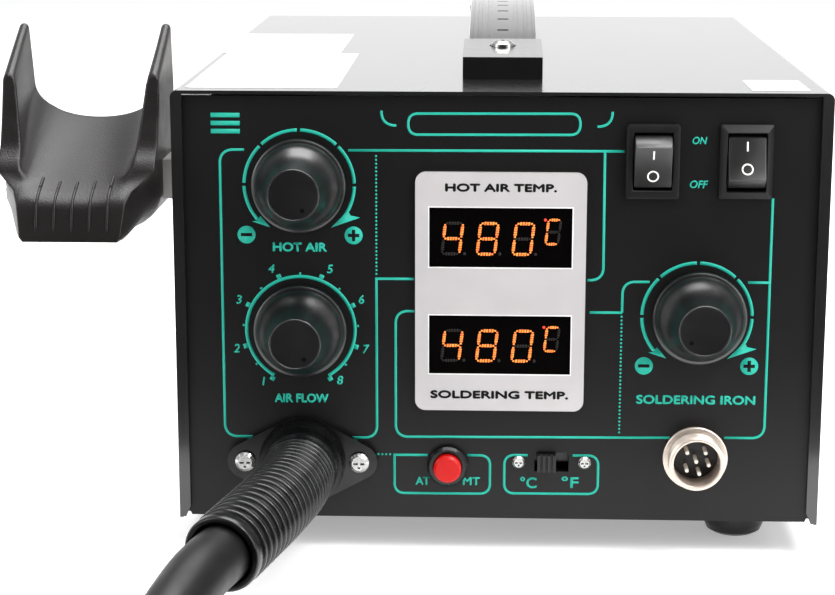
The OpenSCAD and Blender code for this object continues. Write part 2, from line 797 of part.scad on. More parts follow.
// Front view of the holder's outside (x, height)
module cradle_outline() {
    half = cradle_w / 2;
    translate([-half, cradle_bottom_z + cradle_corner_r]) square([cradle_w, 60]);
    translate([cradle_corner_r - half, cradle_bottom_z]) square([cradle_w - 2 * cradle_corner_r, 60]);
    for (s = [-1, 1]) translate([s * (half - cradle_corner_r), cradle_bottom_z + cradle_corner_r])
        circle(cradle_corner_r);
}

// The trough's clear space, square to its axis
module trough_section() {
    translate([-cradle_in_r, cradle_in_r]) square([2 * cradle_in_r, 60]);
    translate([0, cradle_in_r]) circle(cradle_in_r);
}

// Side view of the holder (depth, height): its front swells forwards in two
// steps from the arms down to the lip
module cradle_profile() {
    polygon([
        [6, 139.7], [2.4, 128], [-0.8, 120], [-2, 118.5], [-6, 115.5], [-7.4, 112], [-8.6, 110.4],
        [-12.8, 108.3], [-15, 106.5], [-15.9, 104], [-18.6, cradle_bottom_z],
        [cradle_rear_y, cradle_bottom_z], [cradle_rear_y, 134], [30, 152.5]
    ]);
}

module cradle() {
    corner = [14, -18.6];
    pad_x = 16.5;
    half = cradle_w / 2;
    magnet_y = 14;
    color("#39373a") difference() {
        union() {
            place() intersection() {
                translate([cradle_x, 60, 0]) rotate([90, 0, 0]) linear_extrude(90) cradle_outline();
                translate([cradle_x - 50, 0, 0]) rotate([90, 0, 90]) linear_extrude(100) cradle_profile();
            }
            // flat pad for the bracket
            place() translate([cradle_x + pad_x, bracket_y[0] - 5, bracket_z[0]])
                cube([half - pad_x, bracket_y[1] - bracket_y[0] + 9, bracket_z[1] - bracket_z[0]]);
        }
        on_cradle() translate([0, 80, 0]) rotate([90, 0, 0]) linear_extrude(120) trough_section();
        // flat lower corners of the front
        place() for (s = [-1, 1])
            translate([cradle_x + s * corner[0], corner[1], 90]) rotate([0, 0, -s * 21.1])
                translate([s * 15, 15, 15]) cube([30, 60, 30], center = true);
        // pocket for the magnet, and two blind screw holes on the case side
        on_cradle() translate([0, magnet_y, -cradle_floor_t / 2]) rotate([-90, 0, 0]) cylinder(r = 4, h = 60);
        place() for (y = bracket_y)
            translate([-half_w - 8.6, y, bracket_mid_z]) rotate([0, 90, 0]) cylinder(r = screw_r, h = 20);
    }
}

module cradle_magnet() {
    color("#8f9296") on_cradle() translate([0, 14, -cradle_floor_t / 2]) rotate([-90, 0, 0])
        cylinder(r = 4, h = 8);
}

module cradle_bracket() {
    gap = -half_w - (cradle_x + cradle_w / 2);
    color("#a9a69e") place() difference() {
        translate([-half_w - gap, bracket_y[0] - 5, bracket_z[0]])
            cube([gap, bracket_y[1] - bracket_y[0] + 10, bracket_z[1] - bracket_z[0]]);
        for (y = bracket_y) translate([-half_w - 10, y, bracket_mid_z])
            rotate([0, 90, 0]) cylinder(r = screw_hole_r, h = 20);
    }
}

// ---------------------------------------------------------------- inside

pump_box = [[-80, 66, 16], [-26, 158, 66]];

module air_pump() {
    size = pump_box[1] - pump_box[0];
    color("#4a4d50") place() {
        translate(pump_box[0]) cube(size);
        translate([-53, 112, pump_box[1][2] - eps]) cylinder(r = 20, h = 9);
        translate([-53, pump_box[0][1], 46]) rotate([90, 0, 0]) cylinder(r = 4, h = 14);
    }
}

module pump_feet() {
    color("#151515") place() for (x = [-72, -34], y = [76, 148])
        translate([x, y, floor_top]) cylinder(r = 5, h = 16 - floor_top, $fn = 32);
}

module air_tube() {
    route = [
        [-53, 52, 46], [-53, 42, 46], [-53.5, 33.5, 43.6], [-55, 26, 37], [-56.4, 19.6, 30.4],
        [-57, 14, 27.4], [-57, 10.5, 27.4]
    ];
    color("#c9c4b6") place() tube(route, 5.5, 12);
}

core_box = [[22, 176, floor_top], [84, 216, floor_top + 52]];

module transformer_core() {
    size = core_box[1] - core_box[0];
    color("#6a6d70") place() difference() {
        translate(core_box[0]) cube(size);
        for (s = [0, 1]) translate([core_box[0][0] + 10 + 26 * s, core_box[0][1] - 1, core_box[0][2] + 10])
            cube([16, size[1] + 2, size[2] - 20]);
    }
}

module transformer_coil() {
    color("#b98a2f") place() translate([core_box[0][0] + 10.3, core_box[0][1] - 10, core_box[0][2] + 10.3])
        difference() {
            cube([41.4, 60, 31.4]);
            translate([15.5, 9.9, -1]) cube([10.4, 40.2, 40]);
        }
}

board_box = [[-14, 46, 22], [84, 150, 23.6]];
standoff_x = [-9, 79];
standoff_y = [51, 145];

module main_board() {
    size = board_box[1] - board_box[0];
    color("#1d5b34") place() difference() {
        translate(board_box[0]) cube(size);
        for (x = standoff_x, y = standoff_y) translate([x, y, 10]) cylinder(r = screw_hole_r, h = 20);
    }
}

// Two capacitors, a relay, a block of terminals and the controller
module board_components() {
    color("#2b2b2e") place() translate([0, 0, board_box[1][2]]) {
        for (y = [68, 92]) translate([8, y, 0]) cylinder(r = 8, h = 25);
        translate([26, 100, 0]) cube([19, 15, 15]);
        translate([26, 122, 0]) cube([28, 14, 20]);
        translate([40, 56, 0]) cube([16, 16, 3]);
    }
}

module board_standoffs() {
    color("#c9a24a") place() for (x = standoff_x, y = standoff_y) {
        translate([x, y, floor_top]) cylinder(r = 3, h = board_box[0][2] - floor_top, $fn = 6);
        translate([x, y, floor_top]) cylinder(r = screw_r, h = 15);
    }
}

module heatsink() {
    color("#9fa3a6") place() translate([64, 84, 23.6]) {
        cube([3, 50, 32]);
        for (i = [0:5]) translate([3 - eps, 9 * i, 0]) cube([12, 2, 32]);
    }
}

module mains_inlet() {
    color("#131314") on_rear(inlet_x, inlet_z) difference() {
        union() {
            linear_extrude(2.4) rounded_rect(48, 22.4, 3);
            translate([-13.6, -10, -15]) cube([27.2, 20, 16]);
        }
        translate([0, 0, -12]) linear_extrude(30) rounded_rect(24, 16.4, 3);
        for (s = [-1, 1]) translate([20 * s, 0, -5]) cylinder(r = 1.6, h = 20, $fn = 32);
        for (p = inlet_pins) translate([p[0] - 1, p[1] - 2, -20]) cube([2, 4, 19]);
    }
}

module fuse_holder() {
    color("#131314") on_rear(fuse_x, fuse_z) {
        translate([0, 0, -28]) cylinder(r = 6, h = 28.5);
        cylinder(r = 8.6, h = 2);
        translate([0, 0, 2 - eps]) difference() {
            cylinder(r = 7.2, h = fuse_cap_h - 2 + eps);
            translate([0, 0, fuse_cap_h - 2]) cube([10, 1.4, 2.4], center = true);
        }
        translate([0, 0, -4.4]) cylinder(r = 8.4, h = 3.2, $fn = 6);
    }
}

// ---------------------------------------------------------------- drawing

cover();
chassis();
case_screws();
feet();
foot_screws();
handle_caps();
handle_strap();
handle_screws();
display_bezel();
display_windows();
display_modules();
display_board();
rocker_housings();
rocker_left();
rocker_right();
mains_terminals();
knob_hot_air_temp();
knob_air_volume();
knob_iron_temp();
shaft_hot_air_temp();
shaft_air_volume();
shaft_iron_temp();
potentiometers();
panel_nuts();
mode_button_body();
mode_button_cap();
unit_switch_body();
unit_switch_slider();
unit_switch_screws();
iron_socket_shell();
iron_socket_insert();
iron_socket_pins();
iron_socket_nut();
hose_flange();
flange_screws();
hose_sleeve();
hose_lead();
hose_coil();
hose_tail();
grip_gland();
grip_shell_left();
grip_shell_right();
grip_screws();
heater_tube();
heater_core();
nozzle();
cradle();
cradle_bracket();
cradle_magnet();
air_pump();
pump_feet();
air_tube();
transformer_core();
transformer_coil();
main_board();
board_components();
board_standoffs();
heatsink();
mains_inlet();
fuse_holder();
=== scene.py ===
import math

import bmesh
import bpy
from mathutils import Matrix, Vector


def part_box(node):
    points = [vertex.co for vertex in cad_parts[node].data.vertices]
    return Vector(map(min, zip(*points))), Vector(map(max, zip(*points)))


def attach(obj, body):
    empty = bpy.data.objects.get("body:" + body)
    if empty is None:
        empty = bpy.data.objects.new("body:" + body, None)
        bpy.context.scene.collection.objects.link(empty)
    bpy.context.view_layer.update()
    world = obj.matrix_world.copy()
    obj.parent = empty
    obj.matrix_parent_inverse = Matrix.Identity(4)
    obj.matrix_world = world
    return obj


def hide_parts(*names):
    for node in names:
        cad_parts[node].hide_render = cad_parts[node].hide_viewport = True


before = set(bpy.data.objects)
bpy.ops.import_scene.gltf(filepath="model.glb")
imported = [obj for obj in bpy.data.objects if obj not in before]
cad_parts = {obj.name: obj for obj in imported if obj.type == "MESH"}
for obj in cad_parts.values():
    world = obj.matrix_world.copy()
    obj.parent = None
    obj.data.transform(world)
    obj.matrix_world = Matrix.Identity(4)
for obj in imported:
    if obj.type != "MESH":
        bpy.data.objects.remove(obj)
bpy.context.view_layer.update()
scene = bpy.context.scene
scene.view_settings.view_transform = "Standard"

# ------------------------------------------------------------------ frame of the station
# Station millimetres: X from the middle of the case, Y from the cover's front edge, Z from the bench.

MM = 0.001
_lo, _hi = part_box("cover")
ORIGIN = Vector(((_lo.x + _hi.x) / 2, _lo.y, 0.0))
PANEL_Y = (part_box("chassis")[0].y - ORIGIN.y) / MM
CASE_TOP = _hi.z / MM
CASE_D = (_hi.y - _lo.y) / MM


def at(x, y, z):
    return ORIGIN + Vector((x, y, z)) * MM


def on_panel(x, z, out):
    """A point at x and height z on the front panel, out mm in front of it."""
    return at(x, PANEL_Y - out, z)


def reach_out(node):
    """How far a node stands out in front of the panel, in mm."""
    return PANEL_Y - (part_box(node)[0].y - ORIGIN.y) / MM


def middle(node):
    lo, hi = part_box(node)
    return [(lo[i] + hi[i]) / 2 / MM - ORIGIN[i] / MM for i in range(3)]


def srgb(r, g, b):
    def one(c):
        c /= 255
        return c / 12.92 if c <= 0.04045 else ((c + 0.055) / 1.055) ** 2.4

    return (one(r), one(g), one(b), 1.0)


# ------------------------------------------------------------------ camera

LENS_MM, SENSOR_MM = 90.31, 36
CAMERA_AT = (-0.5, -587.6, 206.8)
CAMERA_TURN = (77.52, -0.03, 2.23)
camera_data = bpy.data.cameras.new("camera")
camera_data.lens = LENS_MM
camera_data.sensor_width = SENSOR_MM
camera_data.clip_start = 0.01
camera = bpy.data.objects.new("camera", camera_data)
camera.location = at(*CAMERA_AT)
camera.rotation_euler = [math.radians(angle) for angle in CAMERA_TURN]
scene.collection.objects.link(camera)
scene.camera = camera

# ------------------------------------------------------------------ materials

MIX_FACTOR, MIX_A, MIX_B, MIX_RESULT = 0, 6, 7, 2  # the colour sockets of the mix node
NOISE_LOW, NOISE_HIGH = 0.25, 0.75


class Nodes:
    """A material's node tree with short ways to add the usual nodes."""

    def __init__(self, name):
        self.material = bpy.data.materials.new(name)
        self.material.use_nodes = True
        self.tree = self.material.node_tree
        self.shader = self.tree.nodes["Principled BSDF"]
        self.coords = self.tree.nodes.new("ShaderNodeTexCoord")

    def add(self, kind, **values):
        node = self.tree.nodes.new(kind)
        for key, value in values.items():
            setattr(node, key, value)
        return node

    def link(self, a, b):
        self.tree.links.new(a, b)

    def noise(self, size_mm, detail=2.0, stretch=(1, 1, 1)):
        mapping = self.add("ShaderNodeMapping")
        mapping.inputs["Scale"].default_value = [s / (size_mm * MM) for s in stretch]
        self.link(self.coords.outputs["Object"], mapping.inputs["Vector"])
        noise = self.add("ShaderNodeTexNoise")
        noise.inputs["Scale"].default_value = 1.0
        noise.inputs["Detail"].default_value = detail
        self.link(mapping.outputs["Vector"], noise.inputs["Vector"])
        return noise.outputs["Fac"]

    def between(self, factor, low, high):
        remap = self.add("ShaderNodeMapRange")
        remap.inputs["From Min"].default_value = NOISE_LOW
        remap.inputs["From Max"].default_value = NOISE_HIGH
        remap.inputs["To Min"].default_value = low
        remap.inputs["To Max"].default_value = high
        self.link(factor, remap.inputs["Value"])
        return remap.outputs["Result"]

    def colours(self, factor, dark, light):
        mix = self.add("ShaderNodeMix", data_type="RGBA")
        mix.inputs[MIX_A].default_value = dark
        mix.inputs[MIX_B].default_value = light
        self.link(self.between(factor, 0, 1), mix.inputs[MIX_FACTOR])
        return mix.outputs[MIX_RESULT]


def material(name, colour, rough, metal=0.0, spec=0.5, coat=0.0, coat_rough=0.1, tone=0.12, tone_mm=14.0,
             rough_var=0.06, grain_mm=0.5, grain=0.1, depth_mm=0.03, stretch=(1, 1, 1)):
    """A procedural finish: colour and gloss drift over tone_mm, and a surface grain of grain_mm."""
    n = Nodes(name)
    sh = n.shader.inputs
    base = srgb(*colour)
    drift = n.noise(tone_mm, 3.0)
    dark = tuple(c * (1 - tone) for c in base[:3]) + (1.0,)
    light = tuple(min(1, c * (1 + tone)) for c in base[:3]) + (1.0,)
    n.link(n.colours(drift, dark, light), sh["Base Color"])
    sh["Metallic"].default_value = metal
    sh["Specular IOR Level"].default_value = spec
    sh["Coat Weight"].default_value = coat
    sh["Coat Roughness"].default_value = coat_rough
    low, high = max(0.02, rough - rough_var), min(1, rough + rough_var)
    n.link(n.between(n.noise(tone_mm * 0.4), low, high), sh["Roughness"])
    bump = n.add("ShaderNodeBump")
    bump.inputs["Strength"].default_value = grain
    bump.inputs["Distance"].default_value = depth_mm * MM
    n.link(n.noise(grain_mm, 2.0, stretch), bump.inputs["Height"])
    n.link(bump.outputs["Normal"], sh["Normal"])
    return n.material


def glow_material(name, colour, strength):
    """A lit segment: the light is uneven over each little bar."""
    n = Nodes(name)
    base = srgb(*colour)
    dim = (base[0] * 0.9, base[1] * 0.35, base[2] * 0.4, 1.0)
    mixed = n.colours(n.noise(0.6, 1.0), dim, base)
    n.link(mixed, n.shader.inputs["Base Color"])
    n.link(mixed, n.shader.inputs["Emission Color"])
    n.shader.inputs["Emission Strength"].default_value = strength
    n.shader.inputs["Roughness"].default_value = 0.4
    return n.material


FINISH = {}


def slot_look(slot, colour, rough, name=None, **look):
    FINISH[slot] = material(name or slot, colour, rough, **look)


slot_look("case_paint", (24, 24, 25), 0.3, "case_powder_coat", rough_var=0.02, coat=1.0, coat_rough=0.12,
          grain_mm=0.7, grain=0.18, depth_mm=0.02, tone=0.06)
slot_look("panel_paint", (16, 15, 16), 0.45, spec=0.35, rough_var=0.02, grain_mm=0.45, grain=0.3, tone=0.05)
slot_look("zinc", (214, 211, 207), 0.5, "zinc_plate", metal=0.4, grain_mm=1.2, tone=0.1)
slot_look("screw_steel", (205, 205, 203), 0.24, metal=1.0, grain_mm=0.3, grain=0.12, tone=0.1, tone_mm=2)
slot_look("nickel", (236, 222, 210), 0.42, metal=0.85, grain_mm=0.4, grain=0.06, tone_mm=3)
slot_look("steel_tube", (188, 186, 182), 0.27, metal=1.0, grain=0.08, stretch=(1, 0.1, 1))
slot_look("brass", (196, 160, 92), 0.3, metal=1.0, grain_mm=0.4, grain=0.08)
slot_look("black_plastic", (30, 30, 31), 0.42, grain_mm=0.35, grain=0.25, depth_mm=0.02)
slot_look("knob_plastic", (15, 14, 15), 0.33, spec=0.9, rough_var=0.03, grain_mm=0.3, grain=0.2,
          depth_mm=0.015, tone_mm=9)
slot_look("gloss_black", (12, 12, 13), 0.24, grain=0.05, depth_mm=0.02)
slot_look("silver_plastic", (200, 196, 197), 0.42, metal=0.25, grain_mm=0.25, grain=0.2, depth_mm=0.02,
          tone=0.04)
slot_look("window", (5, 4, 4), 0.16, "display_window", spec=0.12, grain_mm=4, grain=0.02, tone=0.1)
slot_look("red_plastic", (198, 13, 10), 0.34, spec=0.3, grain=0.08, tone=0.08, tone_mm=4)
slot_look("cradle_plastic", (25, 22, 22), 0.36, spec=0.36, rough_var=0.03, grain=1.0, depth_mm=0.09,
          tone=0.1)
slot_look("hose_rubber", (13, 12, 13), 0.45, spec=0.35, grain=0.15)
slot_look("black_rubber", (15, 15, 16), 0.3, grain_mm=0.4, depth_mm=0.02)
slot_look("board", (30, 92, 54), 0.38, "circuit_board", grain_mm=0.8, grain=0.2, tone=0.25, tone_mm=3)
slot_look("components", (42, 42, 46), 0.45, grain=0.15)
slot_look("aluminium", (176, 178, 180), 0.34, metal=1.0, grain_mm=0.3, grain=0.12, stretch=(1, 1, 0.1))
slot_look("pump_metal", (92, 95, 98), 0.45, metal=0.9, grain_mm=1.4, grain=0.4, depth_mm=0.08)
slot_look("core_steel", (112, 112, 114), 0.5, metal=0.9, grain=0.5, stretch=(1, 1, 0.05))
slot_look("coil_wire", (176, 108, 52), 0.32, metal=0.8, grain=0.9, depth_mm=0.15, stretch=(0.05, 0.05, 1))
slot_look("ceramic", (214, 205, 190), 0.6, grain_mm=0.6, grain=0.2)
slot_look("silicone", (205, 201, 190), 0.35, "silicone_tube", grain_mm=0.8, grain=0.08, coat=0.1)
INK = material("teal_ink", (31, 172, 151), 0.5, spec=0.3, tone=0.07, tone_mm=5, grain_mm=0.3)
DARK_INK = material("black_ink", (10, 10, 11), 0.5, spec=0.15, tone=0.2, tone_mm=5, grain_mm=0.3)
WHITE_INK = material("white_ink", (236, 234, 230), 0.5, tone=0.05, tone_mm=5, grain_mm=0.3)
# painted highlight: a near-white line where the display windows' edges catch the light
EDGE_HIGHLIGHT = material("painted_edge_highlight", (238, 236, 236), 0.4, tone=0.05, tone_mm=3, grain_mm=0.3, grain=0.05)
PAPER = material("label_paper", (238, 238, 234), 0.45, tone=0.03, tone_mm=20)
FRAME_BLACK = material("switch_frame", (17, 17, 18), 0.5, spec=0.35, grain_mm=0.3, grain=0.15,
                       depth_mm=0.015)
# painted shade: the knobs' pointer pits are flat near-black discs in place of the shade inside a recess
PIT_SHADE = material("pointer_pit", (3, 3, 3), 0.7, spec=0.1, tone=0.1, tone_mm=1)
PIN_TIP = material("pin_tip", (232, 226, 218), 0.45, metal=0.2, tone=0.05, tone_mm=1)
MOULDED = dict(rough_var=0.02, coat=1.0, coat_rough=0.16, grain_mm=0.4, grain=0.15, depth_mm=0.012, tone=0.06)
STRAP_BLACK = material("strap_plastic", (50, 48, 49), 0.34, spec=0.9, **MOULDED)
HANDLE_BLACK = material("handle_plastic", (20, 19, 20), 0.3, **MOULDED)
SEGMENT_ON = glow_material("segment_lit", (246, 152, 60), 0.8)
DEGREE_ON = glow_material("degree_lit", (226, 62, 30), 0.8)
SEGMENT_OFF = material("segment_dark", (34, 31, 29), 0.5, spec=0.2, tone=0.15, tone_mm=1)

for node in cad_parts.values():
    for material_slot in node.material_slots:
        material_slot.material = FINISH[material_slot.material.name.split(".")[0]]
OWN_LOOKS = {
    "handle_caps": HANDLE_BLACK, "iron_socket_pins": PIN_TIP, "unit_switch_body": FINISH["gloss_black"],
}
for node, finish in OWN_LOOKS.items():
    for material_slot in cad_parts[node].material_slots:
        material_slot.material = finish

BEVELS = {  # widths in mm
    "cover": 0.35, "chassis": 0.25, "feet": 0.4, "case_screws": 0.15, "foot_screws": 0.15, "handle_caps": 0.6,
    "handle_screws": 0.2, "display_bezel": 0.35,
    "mode_button_body": 0.25, "mode_button_cap": 0.45, "unit_switch_slider": 0.15,
    "hose_flange": 0.6, "iron_socket_pins": 0.25, "iron_socket_insert": 0.3,
    "grip_gland": 0.5, "grip_shell_left": 0.3, "grip_shell_right": 0.3, "grip_screws": 0.15,
    "heater_tube": 0.2, "nozzle": 0.3, "cradle_bracket": 0.4, "mains_inlet": 0.5, "fuse_holder": 0.4,
    "panel_nuts": 0.2, "iron_socket_nut": 0.2, "air_pump": 0.8, "transformer_core": 0.4, "transformer_coil": 0.8,
    "board_components": 0.3,
}
for node, width in BEVELS.items():
    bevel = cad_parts[node].modifiers.new("edges", "BEVEL")
    bevel.width = width * MM
    bevel.segments = 2
    bevel.limit_method = "ANGLE"
    bevel.angle_limit = math.radians(35)
    bevel.harden_normals = True

# ------------------------------------------------------------------ mesh helpers


def add_piece(name, verts, faces, finish, body="case", crease=30, solid_mm=0.0):
    """A mesh piece from points in the row frame, smooth except at sharp edges, riding on a CAD body."""
    mesh = bpy.data.meshes.new(name)
    mesh.from_pydata([tuple(v) for v in verts], [], faces)
    shape = bmesh.new()
    shape.from_mesh(mesh)
    if solid_mm == 0.0:
        bmesh.ops.recalc_face_normals(shape, faces=shape.faces)
    shape.to_mesh(mesh)
    shape.free()
    mesh.polygons.foreach_set("use_smooth", [True] * len(mesh.polygons))
    mesh.set_sharp_from_angle(angle=math.radians(crease))
    mesh.materials.append(finish)
    piece = bpy.data.objects.new(name, mesh)
    scene.collection.objects.link(piece)
    if solid_mm:
        thick = piece.modifiers.new("thickness", "SOLIDIFY")
        thick.thickness = solid_mm * MM
        thick.offset = -1
    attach(piece, body)
    return piece


def ring_band(i, j, count):
    """Four-sided faces between ring i and ring j, each a closed loop of count points."""
    return [(i * count + k, i * count + (k + 1) % count, j * count + (k + 1) % count, j * count + k)
            for k in range(count)]


def circle_point(r, k, count):
    """Point k of count round a circle."""
    a = 2 * math.pi * k / count
    return r * math.cos(a), r * math.sin(a)


def facing(x0, z0):
    """Places a turned shape on the front panel about x0 and z0."""
    return lambda x, z, h: on_panel(x0 + x, z0 + z, h)


def smooth_path(points, steps):
    """Catmull-Rom curve through the points."""
    pts = [Vector(p) for p in points]
    pts = [2 * pts[0] - pts[1]] + pts + [2 * pts[-1] - pts[-2]]
    out = []
    for i in range(1, len(pts) - 2):
        a, b, c, d = pts[i - 1:i + 3]
        for k in range(steps):
            t = k / steps
            square, cube = 2 * a - 5 * b + 4 * c - d, 3 * b - a - 3 * c + d
            out.append(0.5 * (2 * b + (c - a) * t + square * t * t + cube * t ** 3))
    out.append(pts[-2])
    return out


def lengths(path):
    run = [0.0]
    for a, b in zip(path, path[1:]):
        run.append(run[-1] + (b - a).length)
    return run


def point_along(path, run, s):
    """Position and direction at distance s along a path, in the path's own units."""
    s = min(max(s, 0.0), run[-1])
    i = 0
    while i < len(run) - 2 and run[i + 1] < s:
        i += 1
    t = (s - run[i]) / (run[i + 1] - run[i])
    lead = (path[min(i + 2, len(path) - 1)] - path[i]).normalized()
    back = (path[i + 1] - path[max(i - 1, 0)]).normalized()
    return path[i].lerp(path[i + 1], t), back.lerp(lead, t).normalized()


def sweep(path, profile, sides):
    """A closed (distance, radius) profile, in mm, turned round a path and following it."""
    run = lengths(path)
    verts, faces = [], []
    for s, r in profile:
        centre, heading = point_along(path, run, s)
        side = heading.cross(Vector((0, 0, 1))).normalized()
        up = side.cross(heading)
        for k in range(sides):
            a = 2 * math.pi * k / sides
            verts.append(at(*(centre + r * (math.cos(a) * side + math.sin(a) * up))))
    rings = len(profile)
    for i in range(rings):
        faces += ring_band(i, (i + 1) % rings, sides)
    return verts, faces


def lathe(profile, place, sides=96, closed=False):
    """Turns a (radius, height) profile in mm about place(x, y, height)."""
    verts, faces, starts = [], [], []
    for r, h in profile:
        starts.append(len(verts))
        if r < 1e-6:
            verts.append(place(0, 0, h))
        else:
            verts += [place(*circle_point(r, k, sides), h) for k in range(sides)]
    pairs = [(i, i + 1) for i in range(len(profile) - 1)] + ([(len(profile) - 1, 0)] if closed else [])
    for i, j in pairs:
        a, b = starts[i], starts[j]
        flat_a, flat_b = profile[i][0] < 1e-6, profile[j][0] < 1e-6
        for k in range(sides):
            m = (k + 1) % sides
            if flat_a and flat_b:
                continue
            if flat_a:
                faces.append((a, b + m, b + k))
            elif flat_b:
                faces.append((a + k, a + m, b))
            else:
                faces.append((a + k, a + m, b + m, b + k))
    return verts, faces


# ------------------------------------------------------------------ hose

SLEEVE_ROUTE = [
    (-57, -6.6, 27.4), (-57, -11, 27.4), (-57.5, -20, 27.4), (-59, -32, 27.5),
    (-62, -47, 27.4), (-66, -62, 26.8), (-71, -78, 25.5),
]
LEAD_ROUTE = [
    (-75, -90.8, 24.46), (-79.6, -108, 20.3), (-83.9, -127, 15.2),
    (-88, -148, 10.8), (-91.6, -170, 8.8), (-93.8, -190, 8.2),
]
TAIL_ROUTE = [
    (12, -141, 19.5), (-8, -138.5, 23.2), (-28, -137.5, 25.6), (-50, -138, 27), (-72, -141.5, 28),
    (-92, -149, 28.2), (-108, -161, 26.5), (-119, -178, 23.6), (-125, -196, 20), (-127, -214, 18),
    (-127, -232, 18),
]
HOSE_R = 8.0
COIL_CENTRE = (-6.5, -210.0)
COIL_RADII = (88.0, 71.5)
COIL_TURN = (180, 450, 520, 725, 795)  # start, outer ring ends, inner ring starts, climb starts, end
COIL_CLIMB = 11.3


def coil_point(angle):
    outer_end, inner_start, climb_start, end = COIL_TURN[1:]
    t = min(max((angle - outer_end) / (inner_start - outer_end), 0), 1)
    r = COIL_RADII[0] + (COIL_RADII[1] - COIL_RADII[0]) * t * t * (3 - 2 * t)
    rise = max(0, (angle - climb_start) / (end - climb_start)) ** 1.6
    a = math.radians(angle)
    x, y = COIL_CENTRE[0] + r * math.cos(a), COIL_CENTRE[1] + r * math.sin(a)
    return (x, y, HOSE_R + 0.2 + COIL_CLIMB * rise)


coil_route = [coil_point(a) for a in range(COIL_TURN[0], COIL_TURN[-1] + 1, 15)]
dense = smooth_path(SLEEVE_ROUTE + LEAD_ROUTE + coil_route + TAIL_ROUTE, 6)
hose_run = lengths(dense)
hose_length = hose_run[-1]
hose_count = int(hose_length / 5)
hose_points = [
    at(*point_along(dense, hose_run, hose_length * i / hose_count)[0]) for i in range(hose_count + 1)
]

hose_curve = bpy.data.curves.new("air_hose", "CURVE")
hose_curve.dimensions = "3D"
hose_curve.bevel_depth = HOSE_R * MM
hose_curve.bevel_resolution = 8
hose_curve.use_fill_caps = True
hose_line = hose_curve.splines.new("POLY")
hose_line.points.add(len(hose_points) - 1)
for spline_point, position in zip(hose_line.points, hose_points):
    spline_point.co = (*position, 1.0)
hose_line.use_smooth = True
hose_curve.materials.append(FINISH["hose_rubber"])
hose = bpy.data.objects.new("air_hose", hose_curve)
scene.collection.objects.link(hose)
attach(hose, "case")
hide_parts("hose_lead", "hose_coil", "hose_tail")

# Ribbed sleeve round the hose's first stretch: cone at the boss, ribs, plain collar, and a bore
sleeve_path = smooth_path(SLEEVE_ROUTE, 8)
sleeve_run = lengths(sleeve_path)
sleeve_length = sleeve_run[-1]
RIB_PITCH, RIB_R, GROOVE_R, BORE_R, COLLAR = 3.2, 10.7, 9.45, 8.7, 4.0
rib_shape = [
    (0.0, 0.0), (0.16, 0.06), (0.26, 0.62), (0.36, 0.93), (0.5, 1.0), (0.64, 0.93), (0.74, 0.62),
    (0.84, 0.06),
]
sleeve_profile = [(0.0, 10.4), (0.4, 10.8), (2.6, 10.8), (3.0, 10.5)]
ribs = int((sleeve_length - 3.2 - COLLAR) / RIB_PITCH)
rib_start = sleeve_length - COLLAR - ribs * RIB_PITCH
for i in range(ribs):
    for across, height in rib_shape:
        sleeve_profile.append((rib_start + (i + across) * RIB_PITCH, GROOVE_R + (RIB_R - GROOVE_R) * height))
sleeve_profile += [
    (sleeve_length - COLLAR, GROOVE_R), (sleeve_length - COLLAR + 0.3, 10.2),
    (sleeve_length - COLLAR + 0.8, 10.5), (sleeve_length - 0.7, 10.5), (sleeve_length - 0.15, 10.25),
    (sleeve_length, 9.9),
    (sleeve_length - 0.1, BORE_R + 0.3), (sleeve_length - 0.5, BORE_R), (0.3, BORE_R),
]
verts, faces = sweep(sleeve_path, sleeve_profile, 48)
sleeve = add_piece("hose_strain_relief", verts, faces, FINISH["black_rubber"], crease=60)
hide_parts("hose_sleeve")
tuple(hose_points[0])

# ------------------------------------------------------------------ printing on the front panel

LAYERS, LAYER_STEP = 14, 0.003


